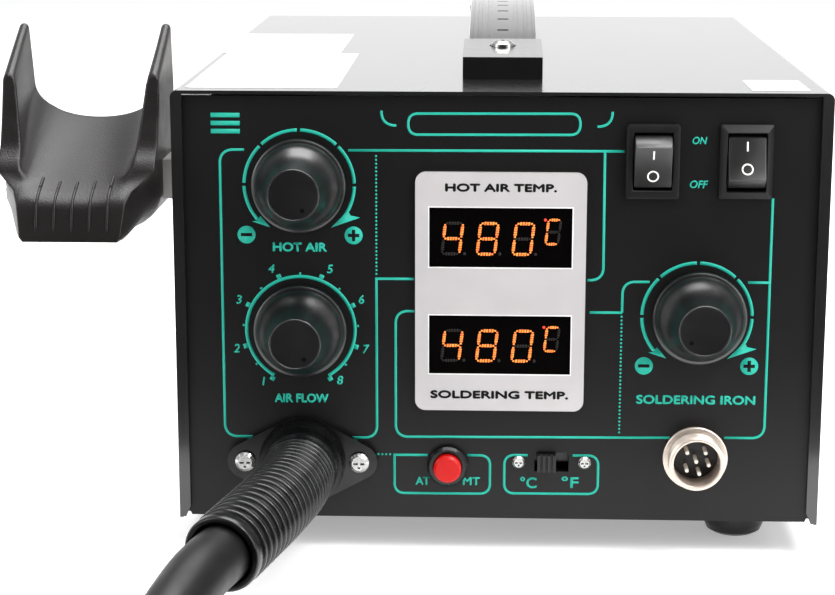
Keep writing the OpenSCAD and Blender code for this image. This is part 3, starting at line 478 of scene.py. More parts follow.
class Sheet:
    """Collects flat shapes drawn in (x, height) mm on a plane, and makes one thin piece of them."""

    def __init__(self):
        self.points = []
        self.faces = []
        self.layer = 0

    def put(self, points):
        """Each call lies a hair in front of the last, so that crossing shapes never share a plane."""
        self.layer = (self.layer + 1) % LAYERS
        self.points += [(p[0], p[1], self.layer * LAYER_STEP) for p in points]

    def polygon(self, points):
        first = len(self.points)
        self.put(points)
        self.faces.append(tuple(range(first, first + len(points))))

    def stroke(self, points, width, closed=False):
        pts = [Vector(p) for p in points]
        count = len(pts)
        first = len(self.points)
        edges = []
        for i, p in enumerate(pts):
            before = pts[i - 1] if closed or i else None
            after = pts[(i + 1) % count] if closed or i < count - 1 else None
            into = (p - before).normalized() if before is not None else None
            out = (after - p).normalized() if after is not None else None
            into, out = into or out, out or into
            normal_in, normal_out = Vector((-into.y, into.x)), Vector((-out.y, out.x))
            mitre = (normal_in + normal_out).normalized()
            reach = width / 2 / max(0.4, mitre.dot(normal_out))
            edges += [p + mitre * reach, p - mitre * reach]
        self.put(edges)
        for i in range(count if closed else count - 1):
            a, b = first + 2 * i, first + 2 * ((i + 1) % count)
            self.faces.append((a, a + 1, b + 1, b))

    def disc(self, x, z, r, count=40):
        ring = [circle_point(r, k, count) for k in range(count)]
        self.polygon([(x + dx, z + dz) for dx, dz in ring])

    def arc(self, x, z, r, start, end, width):
        """Angles are clockwise from straight up."""
        count = max(4, int(abs(end - start) / 3))
        self.stroke([clock(x, z, r, start + (end - start) * i / count) for i in range(count + 1)], width)

    def dots(self, start, end, pitch, r):
        a, b = Vector(start), Vector(end)
        count = int((b - a).length / pitch)
        for i in range(count + 1):
            p = a.lerp(b, i / count)
            self.disc(p.x, p.y, r, 10)

    def text(self, words, x, z, cap, width=None, bold=0.02, slant=0.0):
        """Words centred on x and z, with capitals cap mm high, and fitted to a width if one is given."""
        points, polygons = glyphs(words, slant)
        high = max(p.y for p in glyphs("H", slant)[0])
        left, right = min(p.x for p in points), max(p.x for p in points)
        swell = bold * cap
        tall = (cap - 2 * swell) / high
        wide = (width - 2 * swell) / (right - left) if width else tall
        for dx, dz in ((0, 0), (-swell, 0), (swell, 0), (0, -swell), (0, swell)):
            first = len(self.points)
            self.put([(x + dx + (p.x - (left + right) / 2) * wide, z + dz + (p.y - high / 2) * tall)
                      for p in points])
            self.faces += [tuple(first + k for k in polygon) for polygon in polygons]

    def make(self, name, finish, out, place=on_panel, thick=0.04, body="case", slot=None):
        verts = [place(x, z, out + layer) for x, z, layer in self.points]
        faces = []
        for polygon in self.faces:
            area = sum(self.points[a][0] * self.points[b][1] - self.points[b][0] * self.points[a][1]
                       for a, b in zip(polygon, polygon[1:] + polygon[:1]))
            faces.append(polygon if area > 0 else polygon[::-1])
        return add_piece(name, verts, faces, finish, body, solid_mm=thick)


def clock(x, z, r, angle):
    return (x + r * math.sin(math.radians(angle)), z + r * math.cos(math.radians(angle)))


def rounded(points, steps=6):
    """A route of (x, z, r) corners as a line whose corners are rounded to r."""
    out = []
    for i, (x, z, r) in enumerate(points):
        if not r or i in (0, len(points) - 1):
            out.append((x, z))
            continue
        corner = Vector((x, z))
        a = (Vector(points[i - 1][:2]) - corner).normalized()
        b = (Vector(points[i + 1][:2]) - corner).normalized()
        start, end = corner + a * r, corner + b * r
        for k in range(steps + 1):
            t = k / steps
            bend = 2 * t * (1 - t) * (corner * 0.82 + (start + end) * 0.09)
            out.append(tuple((1 - t) ** 2 * start + bend + t * t * end))
    return out


_glyph_store = {}


def glyphs(words, slant):
    key = (words, slant)
    if key not in _glyph_store:
        curve = bpy.data.curves.new("glyphs", "FONT")
        curve.body = words
        curve.size = 1.0
        curve.shear = slant
        curve.resolution_u = 4
        writer = bpy.data.objects.new("glyphs", curve)
        scene.collection.objects.link(writer)
        bpy.context.view_layer.update()
        flat = bpy.data.meshes.new_from_object(writer.evaluated_get(bpy.context.evaluated_depsgraph_get()))
        polygons = [tuple(p.vertices) for p in flat.polygons]
        _glyph_store[key] = ([v.co.copy() for v in flat.vertices], polygons)
        bpy.data.objects.remove(writer)
        bpy.data.curves.remove(curve)
        bpy.data.meshes.remove(flat)
    return _glyph_store[key]


LINE = 0.72
RING_LINE = 0.95
PRINT_OUT = 0.06
ink = Sheet()


def line(points):
    ink.stroke(rounded(points), LINE)


# frame round the two left knobs, open at the air outlet, and the one from it to the upper display
line([(-72.8, 119, 0), (-79.8, 119, 3.4), (-79.8, 34.2, 3.4), (-70, 34.2, 0)])
line([(-43.6, 34.2, 0), (-35.2, 34.2, 3.2), (-35.2, 81.8, 0), (-24.4, 81.8, 0)])
ink.stroke([(-43.1, 119), (35.2, 119.2)], LINE)
line([(29.7, 119.2, 0), (29.9, 81.9, 3.2), (25.4, 81.9, 0)])
ink.dots((-35.2, 117.4), (-35.2, 83.2), 1.1, 0.33)
# frame under the display, round the right knob
line([(-24.2, 72.3, 0), (-29.7, 72.3, 3.2), (-29.7, 34.6, 3.2), (50.1, 35.2, 0)])
line([(65.9, 35.4, 0), (77.4, 35.4, 3.2), (77.4, 106, 0)])
line([(26.2, 72.4, 0), (35.5, 72.4, 0)])
line([(35.5, 72.4, 0), (35.5, 81.5, 3.2), (43.2, 81.5, 0)])
ink.stroke([(71.2, 81.6), (77.4, 81.6)], LINE)
ink.dots((35.4, 71.2), (35.4, 36.6), 1.1, 0.33)
ink.dots((-36.0, 29.2), (-31.4, 29.2), 1.1, 0.33)
# boxes round the mode button and the unit selector
line([(-20.4, 29.1, 0), (-30.1, 29.1, 0), (-30.1, 17.4, 2.6), (-2.1, 17.5, 2.6), (-2.1, 29.2, 2.6),
      (-8.8, 29.2, 0)])
line([(8.9, 29.4, 0), (2.1, 29.4, 2.6), (2.1, 17.7, 2.6), (29.5, 17.8, 2.6), (29.5, 29.5, 2.6),
      (22, 29.5, 0)])
# rings round the two temperature knobs: six arcs each, the lowest two with arrow heads
RINGS = [(-57.2, 109), (-57.2, 66.5), (56.95, 71.4)]
RING_R = 15.75
ARROWS = (
    ((-8.5, -12.4), (-13.7, -10.7), (-12.3, -10.5), (-11.2, -9.1)),
    ((8.95, -12.4), (17.4, -9.4), (14.7, -8.8), (13.9, -7.5)),
)
for x, z in (RINGS[0], RINGS[2]):
    for start, end in ((1.6, 42.4), (45.6, 88.4), (91.6, 130)):
        for side in (-1, 1):
            ink.arc(x, z, RING_R, side * start, side * end, RING_LINE)
    for arrow in ARROWS:
        ink.polygon([(x + dx, z + dz) for dx, dz in arrow])
SIGNS = ((-72.5, 94.4, False), (-41.7, 94.4, True), (42.1, 56.7, False), (72.4, 56.9, True))
for x, z, plus in SIGNS:
    ink.disc(x, z, 2.6)
# scale of the air volume knob: a long tick at each number and a short one between
x, z = RINGS[1]
SCALE_END, TICKS = 150, 14
ink.arc(x, z, RING_R, -SCALE_END, SCALE_END, RING_LINE)
for step in range(TICKS + 1):
    angle = -SCALE_END + 2 * SCALE_END * step / TICKS
    major = step % 2 == 0
    tick_end = clock(x, z, RING_R + (1.75 if major else 1.15), angle)
    ink.stroke([clock(x, z, RING_R + 0.5, angle), tick_end], 1.4 if major else 0.6)
NUMBERS_AT = (
    (-11, -15.5), (-18.7, -5.7), (-17.8, 8.8), (-8.3, 18), (8.6, 18), (17.6, 9.1), (18.9, -5.6), (11.3, -15),
)
for number, (dx, dz) in enumerate(NUMBERS_AT):
    ink.text(str(number + 1), x + dx, z + dz, 2.6, bold=0.035, slant=0.15)
# legends
ink.text("HOT AIR", -57.2, 90.9, 2.7, 15.6, bold=0.055)
ink.text("AIR FLOW", -57.2, 46.0, 2.7, 15.8, bold=0.055)
ink.text("SOLDERING IRON", 57.3, 46.7, 2.7, 34.4, bold=0.055)
ink.text("ON", 56.3, 122.4, 2.1, 4.2, bold=0.035, slant=0.2)
ink.text("OFF", 56.4, 109.9, 2.2, 5.2, bold=0.035, slant=0.2)
ink.text("AT", -21.8, 21.2, 2.5, 4.3, bold=0.045)
ink.text("MT", -7.5, 21.3, 2.5, 5.1, bold=0.045)
ink.text("°C", 9.2, 21.0, 3.3, 4.9, bold=0.035)
ink.text("°F", 21.4, 21.2, 3.3, 5.1, bold=0.035)
# plain outlined bar and two plain hooks where a heading would be, and three plain bars at the left
BAR = [(-2, 123.7, 0), (-26, 123.6, 2.4), (-26, 129.6, 2.4), (22.6, 129.8, 2.4), (22.6, 123.8, 2.4),
       (-2, 123.7, 0)]
ink.stroke(rounded(BAR)[:-1], LINE, closed=True)
for side, hook_x in ((-1, -33.6), (1, 31.6)):
    line([(hook_x, 130.4, 0), (hook_x, 126.2, 3.4), (hook_x - side * 4.2, 126.2, 0)])
for row in range(3):
    ink.stroke([(-82.2, 128.9 - 2.3 * row), (-73.9, 128.9 - 2.3 * row)], 1.3)
ink.make("panel_print", INK, PRINT_OUT)

marks = Sheet()
SIGN_HALF, SIGN_LINE = 1.65, 0.95
for x, z, plus in SIGNS:
    marks.stroke([(x - SIGN_HALF, z), (x + SIGN_HALF, z)], SIGN_LINE)
    if plus:
        marks.stroke([(x, z - SIGN_HALF), (x, z + SIGN_HALF)], SIGN_LINE)
marks.make("panel_print_signs", DARK_INK, PRINT_OUT + 0.07)

# ------------------------------------------------------------------ display

DISPLAY = middle("display_bezel")
BEZEL_OUT = reach_out("display_bezel")
WINDOW_OUT = reach_out("display_windows")
words = Sheet()
words.text("HOT AIR TEMP.", 0.4, 108.7, 2.4, 31.8, bold=0.075)
words.text("SOLDERING TEMP.", 0.4, 47.9, 2.4, 40.0, bold=0.075)
words.make("display_legends", DARK_INK, BEZEL_OUT + 0.04)

# painted highlight: a thin near-white line round each window's edge
edge_highlights = Sheet()
window_low, window_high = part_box("display_windows")
WINDOW_W = (window_high.x - window_low.x) / 2 / MM
WINDOW_H = 17.4 / 2
WINDOW_ZS = (window_high.z / MM - WINDOW_H, window_low.z / MM + WINDOW_H)
for window_z in WINDOW_ZS:
    w, h = WINDOW_W + 0.05, WINDOW_H + 0.1
    corners = ((-1, -1), (1, -1), (1, 1), (-1, 1))
    edge_highlights.stroke([(DISPLAY[0] + sx * w, window_z + sz * h) for sx, sz in corners], 0.3, closed=True)
edge_highlights.make("display_window_edge_highlights", EDGE_HIGHLIGHT, BEZEL_OUT + 0.03, thick=0.3)

SLANT = 0.115
SEGMENTS = {"a": (0, 1), "b": (1, 1), "c": (1, 0), "d": (0, 0), "e": (-1, 0), "f": (-1, 1), "g": (0, 0.5)}


def digit(lit_sheet, dark_sheet, x0, z0, w, h, lit, bar=0.88, dashes=6):
    """Seven slanted segments, each made of small bars."""
    def bar_at(sheet, left, low, right, high):
        corners = ((left, low), (right, low), (right, high), (left, high))
        sheet.polygon([(x0 + x + SLANT * z, z0 + z) for x, z in corners])

    for name, (column, row) in SEGMENTS.items():
        sheet = lit_sheet if name in lit else dark_sheet
        if column == 0:
            low = row * (h - bar)
            pitch = (w - 1.5 * bar) / dashes
            for i in range(dashes):
                left = 0.75 * bar + pitch * i
                trim = 0.22 * bar if i in (0, dashes - 1) else 0.0
                bar_at(sheet, left + 0.06 * pitch, low + trim, left + 0.78 * pitch, low + bar - trim)
        else:
            left = 0 if column < 0 else w - bar
            span = (h - 2.0 * bar) / 2
            pitch = span / dashes
            base = 0.85 * bar + row * (h / 2 - 0.35 * bar - 0.15 * bar)
            for i in range(dashes):
                low = base + pitch * i
                trim = 0.2 * bar if i in (0, dashes - 1) else 0.0
                bar_at(sheet, left + trim, low + 0.06 * pitch, left + bar - trim, low + 0.78 * pitch)


lit, dark, degrees = Sheet(), Sheet(), Sheet()
for base in (88.95, 57.5):
    for x0, segments in ((-16.9, "bcfg"), (-6.8, "abcdefg"), (3.4, "abcdef")):
        digit(lit, dark, x0, base, 5.9, 9.8, segments)
        dark.disc(x0 + 7.0, base + 0.5, 0.45, 16)
    digit(lit, dark, 12.8, base + 3.1, 4.3, 7.8, "adef", bar=0.78, dashes=5)
    degrees.disc(13.1, base + 10.5, 0.42, 16)
degrees.make("display_degree_dots", DEGREE_ON, WINDOW_OUT + 0.05)
lit.make("display_digits", SEGMENT_ON, WINDOW_OUT + 0.04)
dark.make("display_dark_segments", SEGMENT_OFF, WINDOW_OUT + 0.03)

# ------------------------------------------------------------------ knobs


# the bell-shaped shoulder as (inward, rise) from the skirt to the neck
SHOULDER = (
    (0.3, 0.35), (0.42, 1.0), (0.62, 1.8), (0.98, 2.6), (1.5, 3.4), (2.15, 4.2), (2.8, 5.1), (3.35, 6.1),
    (3.8, 7.2), (4.2, 8.6), (4.55, 10.2), (4.9, 12.2), (5.2, 14.3),
)
NECK_R, DOT_R = 7.4, 5.0


def knob_profile(radius, height):
    shape = [
        (radius - 3.0, 0.8), (radius - 0.35, 0.8), (radius, 1.1), (radius, 2.5), (radius - 0.12, 2.85),
        (radius - 0.5, 3.1), (radius - 1.0, 3.2),
    ]
    for inward, rise in SHOULDER:
        r = radius - 0.8 - inward * (radius - 0.8 - NECK_R) / 5.2
        shape.append((r, 3.3 + rise * (height - 3.8) / 14.3))
    return shape + [
        (7.34, height - 0.15), (7.2, height), (7.02, height - 0.06), (6.9, height - 0.2),
        (6.6, height - 0.25), (0, height - 0.25),
    ]


def make_knob(name, node, body, dot_angle):
    x0, _, z0 = middle(node)
    height = reach_out(node)
    radius = (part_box(node)[1].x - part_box(node)[0].x) / 2 / MM
    verts, faces = lathe(knob_profile(radius, height), facing(x0, z0), 128)
    piece = add_piece(name, verts, faces, FINISH["knob_plastic"], body, crease=28)
    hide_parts(node)
    a = math.radians(dot_angle)
    px, pz = x0 + DOT_R * math.cos(a), z0 + DOT_R * math.sin(a)
    # the pointer pit is painted shade: a near-black disc just in front of the face, not a recess
    pit = [(0.62, height - 0.24), (0.55, height - 0.22), (0.5, height - 0.22), (0, height - 0.222)]
    verts, faces = lathe(pit, facing(px, pz), 32)
    add_piece(name + "_pointer", verts, faces, PIT_SHADE, body)


make_knob("knob_hot_air", "knob_hot_air_temp", "hot_air_temp_knob", -60)
make_knob("knob_air_flow", "knob_air_volume", "air_volume_knob", -60)
make_knob("knob_iron", "knob_iron_temp", "iron_temp_knob", -136.6)

# ------------------------------------------------------------------ rocker switches


def rect_loop(w, h, r, steps=5):
    pts = []
    for sx, sz, first in ((1, 1, 0), (-1, 1, 90), (-1, -1, 180), (1, -1, 270)):
        for k in range(steps + 1):
            a = math.radians(first + 90 * k / steps)
            pts.append((sx * (w / 2 - r) + r * math.cos(a), sz * (h / 2 - r) + r * math.sin(a)))
    return pts


def frame_piece(name, x0, z0, loops, finish):
    """A ring lofted through rounded rectangles (width, height, corner, out)."""
    verts, faces = [], []
    for w, h, r, out in loops:
        verts += [on_panel(x0 + x, z0 + z, out) for x, z in rect_loop(w, h, max(r, 0.05))]
    count = len(verts) // len(loops)
    for i in range(len(loops)):
        faces += ring_band(i, (i + 1) % len(loops), count)
    return add_piece(name, verts, faces, finish, crease=32)


ROCKER_BLACK = material("rocker_plastic", (24, 22, 23), 0.4, spec=1.0, grain_mm=0.3, grain=0.8)
ROCKER_HALF, ROCKER_R = 5.3, 7.8
ROCKERS = [middle("rocker_left"), middle("rocker_right")]
SWITCH_Z = (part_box("rocker_housings")[0].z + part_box("rocker_housings")[1].z) / 2 / MM
flat_frame = frame_piece("switch_frame_left", ROCKERS[0][0], SWITCH_Z, [
    (14.9, 21.1, 0.9, 0.0), (15.1, 21.3, 1.0, 0.25), (15.1, 21.3, 1.0, 1.5), (14.9, 21.1, 0.9, 1.9),
    (14.5, 20.7, 0.8, 2.0), (11.6, 16.9, 0.5, 2.0), (11.2, 16.5, 0.4, 1.85), (11.0, 16.3, 0.3, 1.5),
    (11.0, 16.3, 0.3, -9), (13.0, 19, 0.5, -9), (13.0, 19, 0.5, 0.0),
], FRAME_BLACK)
frame_piece("switch_frame_right", ROCKERS[1][0], SWITCH_Z, [
    (14.9, 21.1, 0.5, 0.0), (15.1, 21.3, 0.6, 0.2), (15.1, 21.3, 0.6, 0.7), (14.9, 21.1, 0.5, 1.0),
    (11.5, 17.1, 0.3, 2.5), (11.1, 16.6, 0.25, 2.45), (11.0, 16.3, 0.2, 2.1), (11.0, 16.3, 0.2, -9),
    (13.0, 19, 0.5, -9), (13.0, 19, 0.5, 0.0),
], FRAME_BLACK)
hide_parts("rocker_housings")
# moulded bottoms behind the rockers
for name, x0 in (("switch_body_left", ROCKERS[0][0]), ("switch_body_right", ROCKERS[1][0])):
    body_loops = [(13.0, 19, 0.5, -9.05), (13.0, 19, 0.5, -13), (12.0, 18, 0.5, -13)]
    verts, faces = [], []
    for w, h, r, out in body_loops:
        verts += [on_panel(x0 + x, SWITCH_Z + z, out) for x, z in rect_loop(w, h, r)]
    count = len(verts) // 3
    faces = ring_band(0, 1, count) + ring_band(1, 2, count)
    faces += [tuple(range(count))[::-1], tuple(range(2 * count, 3 * count))]
    add_piece(name, verts, faces, FINISH["black_plastic"])

PIVOT_Y, TILT = 1.0, 15.0
FACE_MIDDLE, FACE_HOLLOW = 4.45, 0.142


def face_height(z):
    """Height of a rocker's hollow face at z along it."""
    return FACE_MIDDLE + FACE_HOLLOW * (z / 3) ** 2


def rocker_face(x0, tilt):
    """Points on a rocker's curved face: x across and z along it, turned with the rocker."""
    def place(x, z, out):
        rise = face_height(z) + out
        a = math.radians(tilt)
        along, proud = z * math.cos(a) - rise * math.sin(a), z * math.sin(a) + rise * math.cos(a)
        return on_panel(x0 + x, SWITCH_Z + along, proud - PIVOT_Y)
    return place


def rocker_shape(name, node, body, x0, tilt):
    """The rocker's hollow-faced block with rounded edges, turned about its pivot."""
    verts, faces = [], []
    rows = [(-ROCKER_HALF, 0.45), (0.13 - ROCKER_HALF, 0.13), (0.4 - ROCKER_HALF, 0)]
    rows += [(-x, inset) for x, inset in rows[::-1]]
    for x, inset in rows:
        r, end = ROCKER_R - inset, 5.95 - 0.7 * inset
        outline = []
        for k in range(25):
            z = end * (k / 12 - 1)
            outline.append((z, face_height(z) - inset))
        corner = math.atan2(outline[-1][1], end)
        turns = [corner + (math.radians(-18) - corner) * k / 8 for k in range(1, 9)]
        outline += [(r * math.cos(a), r * math.sin(a)) for a in turns]
        outline += [(-r * math.cos(a), r * math.sin(a)) for a in turns[::-1]]
        a = math.radians(tilt)
        for z, up in outline:
            tilted_z = SWITCH_Z + z * math.cos(a) - up * math.sin(a)
            proud = z * math.sin(a) + up * math.cos(a) - PIVOT_Y
            verts.append(on_panel(x0 + x, tilted_z, proud))
    count = len(verts) // len(rows)
    for j in range(len(rows) - 1):
        faces += ring_band(j, j + 1, count)
    faces += [tuple(range(count)), tuple(range(len(verts) - count, len(verts)))]
    piece = add_piece(name, verts, faces, ROCKER_BLACK, body, crease=26)
    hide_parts(node)


rocker_shape("rocker_key_left", "rocker_left", "left_rocker", ROCKERS[0][0], TILT)
rocker_shape("rocker_key_right", "rocker_right", "right_rocker", ROCKERS[1][0], -TILT)
for name, body, x0, tilt in (
    ("rocker_marks_left", "left_rocker", ROCKERS[0][0], TILT),
    ("rocker_marks_right", "right_rocker", ROCKERS[1][0], -TILT),
):
    signs = Sheet()
    signs.stroke([(0, 2.2), (0, 3.5), (0, 4.9)], 0.5)
    signs.stroke([clock(0, -2.9, 1.45, a) for a in range(0, 360, 12)], 0.45, closed=True)
    signs.make(name, WHITE_INK, 0.04, place=rocker_face(x0, tilt), body=body, thick=0.03)

# ------------------------------------------------------------------ iron socket with its thread

socket_x, _, socket_z = middle("iron_socket_shell")
NOSE, THREAD_R, THREAD_PITCH, THREAD_DEPTH = 7.2, 8.0, 1.0, 0.34
verts, faces = [], []
AROUND, ROWS = 96, 64
low_out, high_out = 2.0, NOSE - 0.5
for j in range(ROWS + 1):
    out = low_out + (high_out - low_out) * j / ROWS
    ease = min(1.0, min(out - low_out, high_out - out) / 0.5)
    for k in range(AROUND):
        turn = k / AROUND
        wave = abs(2 * ((out / THREAD_PITCH - turn) % 1.0) - 1)
        r = THREAD_R - THREAD_DEPTH * ease * max(0.0, min(1.0, (wave - 0.15) / 0.7))
        a = 2 * math.pi * turn
        verts.append(on_panel(socket_x + r * math.cos(a), socket_z + r * math.sin(a), out))
for j in range(ROWS):
    faces += ring_band(j, j + 1, AROUND)
rim = [
    (THREAD_R, NOSE - 0.5), (THREAD_R - 0.45, NOSE - 0.08), (THREAD_R - 0.6, NOSE), (6.95, NOSE),
    (6.75, NOSE - 0.15), (6.7, NOSE - 0.5), (6.7, -1.3),
]
first = len(verts)
turned, turned_faces = lathe(rim, facing(socket_x, socket_z), AROUND)
verts += turned
faces += [tuple(first + k for k in face) for face in turned_faces]
thread = add_piece("iron_socket_thread", verts, faces, FINISH["nickel"], crease=50)
foot = [
    (8.0, -9), (8.0, -0.1), (9.0, 0.0), (9.35, 0.15), (9.4, 1.1), (9.2, 1.35), (8.9, 1.45), (7.75, 1.5),
    (7.7, 2.1), (6.9, 2.1), (6.9, -9),
]
verts, faces = lathe(foot, facing(socket_x, socket_z), 96, closed=True)
add_piece("iron_socket_foot", verts, faces, FINISH["nickel"], crease=35)
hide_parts("iron_socket_shell")

# ------------------------------------------------------------------ handle strap

HANDLE_X = middle("handle_strap")[0]
STRAP_Y0 = (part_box("handle_strap")[0].y - ORIGIN.y) / MM
STRAP_Y1 = (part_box("handle_strap")[1].y - ORIGIN.y) / MM
STRAP_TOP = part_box("handle_strap")[1].z / MM - CASE_TOP
STRAP_T, STRAP_HALF, CAP_REACH = 4.0, 10.5, 61.5
BOW, END_SLOPE = 8, 0.127


def strap_height(y):
    d, bend = abs(y - CASE_D / 2), CASE_D / 2 - CAP_REACH
    return STRAP_TOP - BOW * (d / bend) ** 2.4 if d < bend else STRAP_TOP - BOW - (d - bend) * END_SLOPE


def breaks(edges, low, high, step):
    """Even steps with extra stations at each feature's edges."""
    parts = int((high - low) / step)
    stations = [low + (high - low) * i / parts for i in range(parts + 1)]
    stations += [edge for edge in edges if low < edge < high]
    stations.sort()
    return [s for i, s in enumerate(stations) if i == 0 or s - stations[i - 1] > 0.04]


def plateau(distance, half, soft):
    return max(0.0, min(1.0, (half + soft - distance) / soft))


RIDGES = [(s * x, 0.5) for s in (-1, 1) for x in (4.1, 7.1, 9.75)]
SLOT_YS = [72 + 12 * i for i in range(10)]
SLOT_HALF = (1.55, 0.42)
RIDGE_RISE, RIDGE_SOFT, SLOT_DEPTH, SLOT_SOFT = 0.38, 0.22, 0.9, 0.2
x_marks = [x + s * (half + soft) for x, half in RIDGES for s in (-1, 1) for soft in (0.0, RIDGE_SOFT)]
x_marks += [s * (SLOT_HALF[0] + soft) for s in (-1, 1) for soft in (0.0, SLOT_SOFT)]
y_marks = [y + s * (SLOT_HALF[1] + soft) for y in SLOT_YS for s in (-1, 1) for soft in (0.0, SLOT_SOFT)]
xs = breaks(x_marks, -STRAP_HALF + 0.3, STRAP_HALF - 0.3, 1.5)
ys = breaks(y_marks, STRAP_Y0, STRAP_Y1, 2.5)
verts, faces = [], []
for y in ys:
    top = CASE_TOP + strap_height(y)
    inside = 1.0 if CAP_REACH + 1 < y < CASE_D - CAP_REACH - 1 else 0.0
    row = [(-STRAP_HALF, top - STRAP_T), (-STRAP_HALF, top - 0.3)]
    for x in xs:
        lift = RIDGE_RISE * inside * max(plateau(abs(x - rx), half, RIDGE_SOFT) for rx, half in RIDGES)
        at_slot = max(plateau(abs(y - sy), SLOT_HALF[1], SLOT_SOFT) for sy in SLOT_YS)
        dip = SLOT_DEPTH * inside * plateau(abs(x), SLOT_HALF[0], SLOT_SOFT) * at_slot
        row.append((x, top - dip + lift))
    row += [(STRAP_HALF, top - 0.3), (STRAP_HALF, top - STRAP_T)]
    verts += [at(HANDLE_X + x, y, z) for x, z in row]
count = len(xs) + 4
for j in range(len(ys) - 1):
    faces += ring_band(j, j + 1, count)
faces += [tuple(range(count))[::-1], tuple(range((len(ys) - 1) * count, len(ys) * count))]
strap = add_piece("handle_grip_strap", verts, faces, STRAP_BLACK, crease=40)
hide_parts("handle_strap")

# ------------------------------------------------------------------ holder for the handpiece

HOLDER_X = (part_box("cradle")[0].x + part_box("cradle")[1].x) / 2 / MM - ORIGIN.x / MM
# side outlines as (height, depth): the front edge of arms, lip and fascia, and the rear edge
HOLDER_FRONT = (
    (95.5, -18.6), (104, -15.9), (106.5, -15), (108.3, -12.8), (110.4, -8.6), (112, -7.4),
    (115.5, -6), (118.5, -2), (120, -0.8), (128, 2.4), (139.7, 6), (152.5, 9.9),
)
HOLDER_REAR = ((95.5, 33), (134, 33), (152.5, 30))
ARM_ROWS, FLOOR_ROWS, TIP_ROWS, CAP_ROWS = 24, 16, 4, 6
HOLDER_BOTTOM, HALF_OUT, FLOOR_SLOPE = 95.5, 22.5, math.tan(math.radians(20))
SOFT_EDGE, FLOOR_AT_LIP = 1.0, 107.2


def read_off(table, z):
    for (z0, y0), (z1, y1) in zip(table, table[1:]):
        if z <= z1:
            return y0 + (y1 - y0) * (z - z0) / (z1 - z0)
    return table[-1][1]


def front_y(z):
    return sum(read_off(HOLDER_FRONT, z + d) for d in (-1, -0.5, 0, 0.5, 1)) / 5


def soft_step(t):
    t = max(0.0, min(1.0, t))
    return t * t * (3 - 2 * t)


def trough(y):
    """Floor and arm tip height, inner half width, rise and power of the rounded floor, the tip's inner x."""
    back = soft_step((y + 15) / 45)
    tip = 139.7 + 0.533 * max(0.0, y - 6)
    floor = FLOOR_AT_LIP + FLOOR_SLOPE * (y + 14.5)
    return floor, tip, 15.6 + 3.4 * back, 6.5 + 4 * back, 0.7 + 0.25 * back, 18.4 + 1.2 * back


def trough_height(x, y):
    low, _, half_in, rise, power, _ = trough(y)
    c = (abs(x) / half_in) ** (1 / power)
    return low + rise * (1 - math.sqrt(max(0.0, 1 - c * c)) ** power)


def holder_pair(i, y):
    """Inner and outer (x, height) of half the section at depth y, from the arm's tip to the middle line."""
    low, tip, half_in, rise, power, tip_in = trough(y)

    def inner_x(z):
        if z >= low + rise:
            return half_in + (tip_in - half_in) * (z - low - rise) / (tip - low - rise)
        s = min(1.0, (low + rise - z) / rise) ** (1 / power)
        return half_in * math.sqrt(max(0.0, 1 - s * s)) ** power

    def outer_x(z):
        return min(HALF_OUT, 14 + 0.386 * (y + 18.6) + 12 * soft_step((z - 110) / 8))

    half = (HALF_OUT - tip_in) / 2
    if i <= TIP_ROWS:
        a = math.radians(8 + 82 * i / TIP_ROWS)
        z = tip - half * (1 - math.cos(a))
        return (tip_in + half - half * math.sin(a), z), (tip_in + half + half * math.sin(a), z)
    if i <= ARM_ROWS:
        z = tip - half + (low + 2.4 - tip + half) * (i - TIP_ROWS) / (ARM_ROWS - TIP_ROWS)
        return (inner_x(z), z), (outer_x(z), z)
    v = (i - ARM_ROWS) / FLOOR_ROWS
    start = math.asin(((rise - 2.4) / rise) ** (1 / power))
    a = start + (math.pi / 2 - start) * v
    inner = (half_in * max(0.0, math.cos(a)) ** power, low + rise - rise * math.sin(a) ** power)
    corner = 1 + 10 * soft_step((y + 18.6) / 20)
    wide = outer_x(HOLDER_BOTTOM)
    drop, bend, flat = low + 2.4 - HOLDER_BOTTOM - corner, math.pi / 2 * corner, wide - corner
    run = v * (drop + bend + flat)
    if run < drop:
        z = low + 2.4 - run
        return inner, (outer_x(z), z)
    if run < drop + bend:
        b = (run - drop) / corner
        return inner, (wide - corner + corner * math.cos(b), HOLDER_BOTTOM + corner - corner * math.sin(b))
    return inner, (max(0.0, drop + bend + flat - run), HOLDER_BOTTOM)


def depth_of(height_at, f, from_front, from_rear):
    """Depth of a point whose height follows its depth, at fraction f between the front and rear edges."""
    low, high = -30.0, 45.0
    for _ in range(22):
        y = (low + high) / 2
        z = height_at(y)
        if y < (front_y(z) + from_front) * (1 - f) + (read_off(HOLDER_REAR, z) - from_rear) * f:
            low = y
        else:
            high = y
    return (low + high) / 2


def lip_radius(i):
    return 0.8 + 2.4 * soft_step((i / (ARM_ROWS + FLOOR_ROWS) - 0.5) / 0.28)


def holder_row(f, turn, rear):
    """One closed loop of the section. turn 0-1 goes through the rounding of the front or rear edge."""
    a = math.pi / 2 * turn
    rows = []
    for i in range(ARM_ROWS + FLOOR_ROWS + 1):
        pair = []
        for which in (0, 1):
            r = SOFT_EDGE if rear else (lip_radius(i) if which == 0 else 0.5)
            shift = r * (1 - math.cos(a))
            shifts = (0, shift) if rear else (shift, 0)
            y = depth_of(lambda y: holder_pair(i, y)[which][1], f, *shifts)
            points = holder_pair(i, y)
            here, other = Vector(points[which]), Vector(points[1 - which])
            gap = (other - here).length
            inset = min(r * (1 - math.sin(a)), 0.42 * gap)
            here += (other - here) * (inset / gap)
            if i <= TIP_ROWS:
                here.y -= min(1.0, r * (1 - math.sin(a))) * (1 - i / TIP_ROWS)
            if turn < 1 and not rear:
                y = front_y(here.y) + shift
            pair.append((here.x, y, here.y))
        rows.append(pair)
    inner = [(-p[0][0], p[0][1], p[0][2]) for p in rows] + [p[0] for p in rows[-2::-1]]
    outer = [(-p[1][0], p[1][1], p[1][2]) for p in rows] + [p[1] for p in rows[-2::-1]]
    return inner, outer


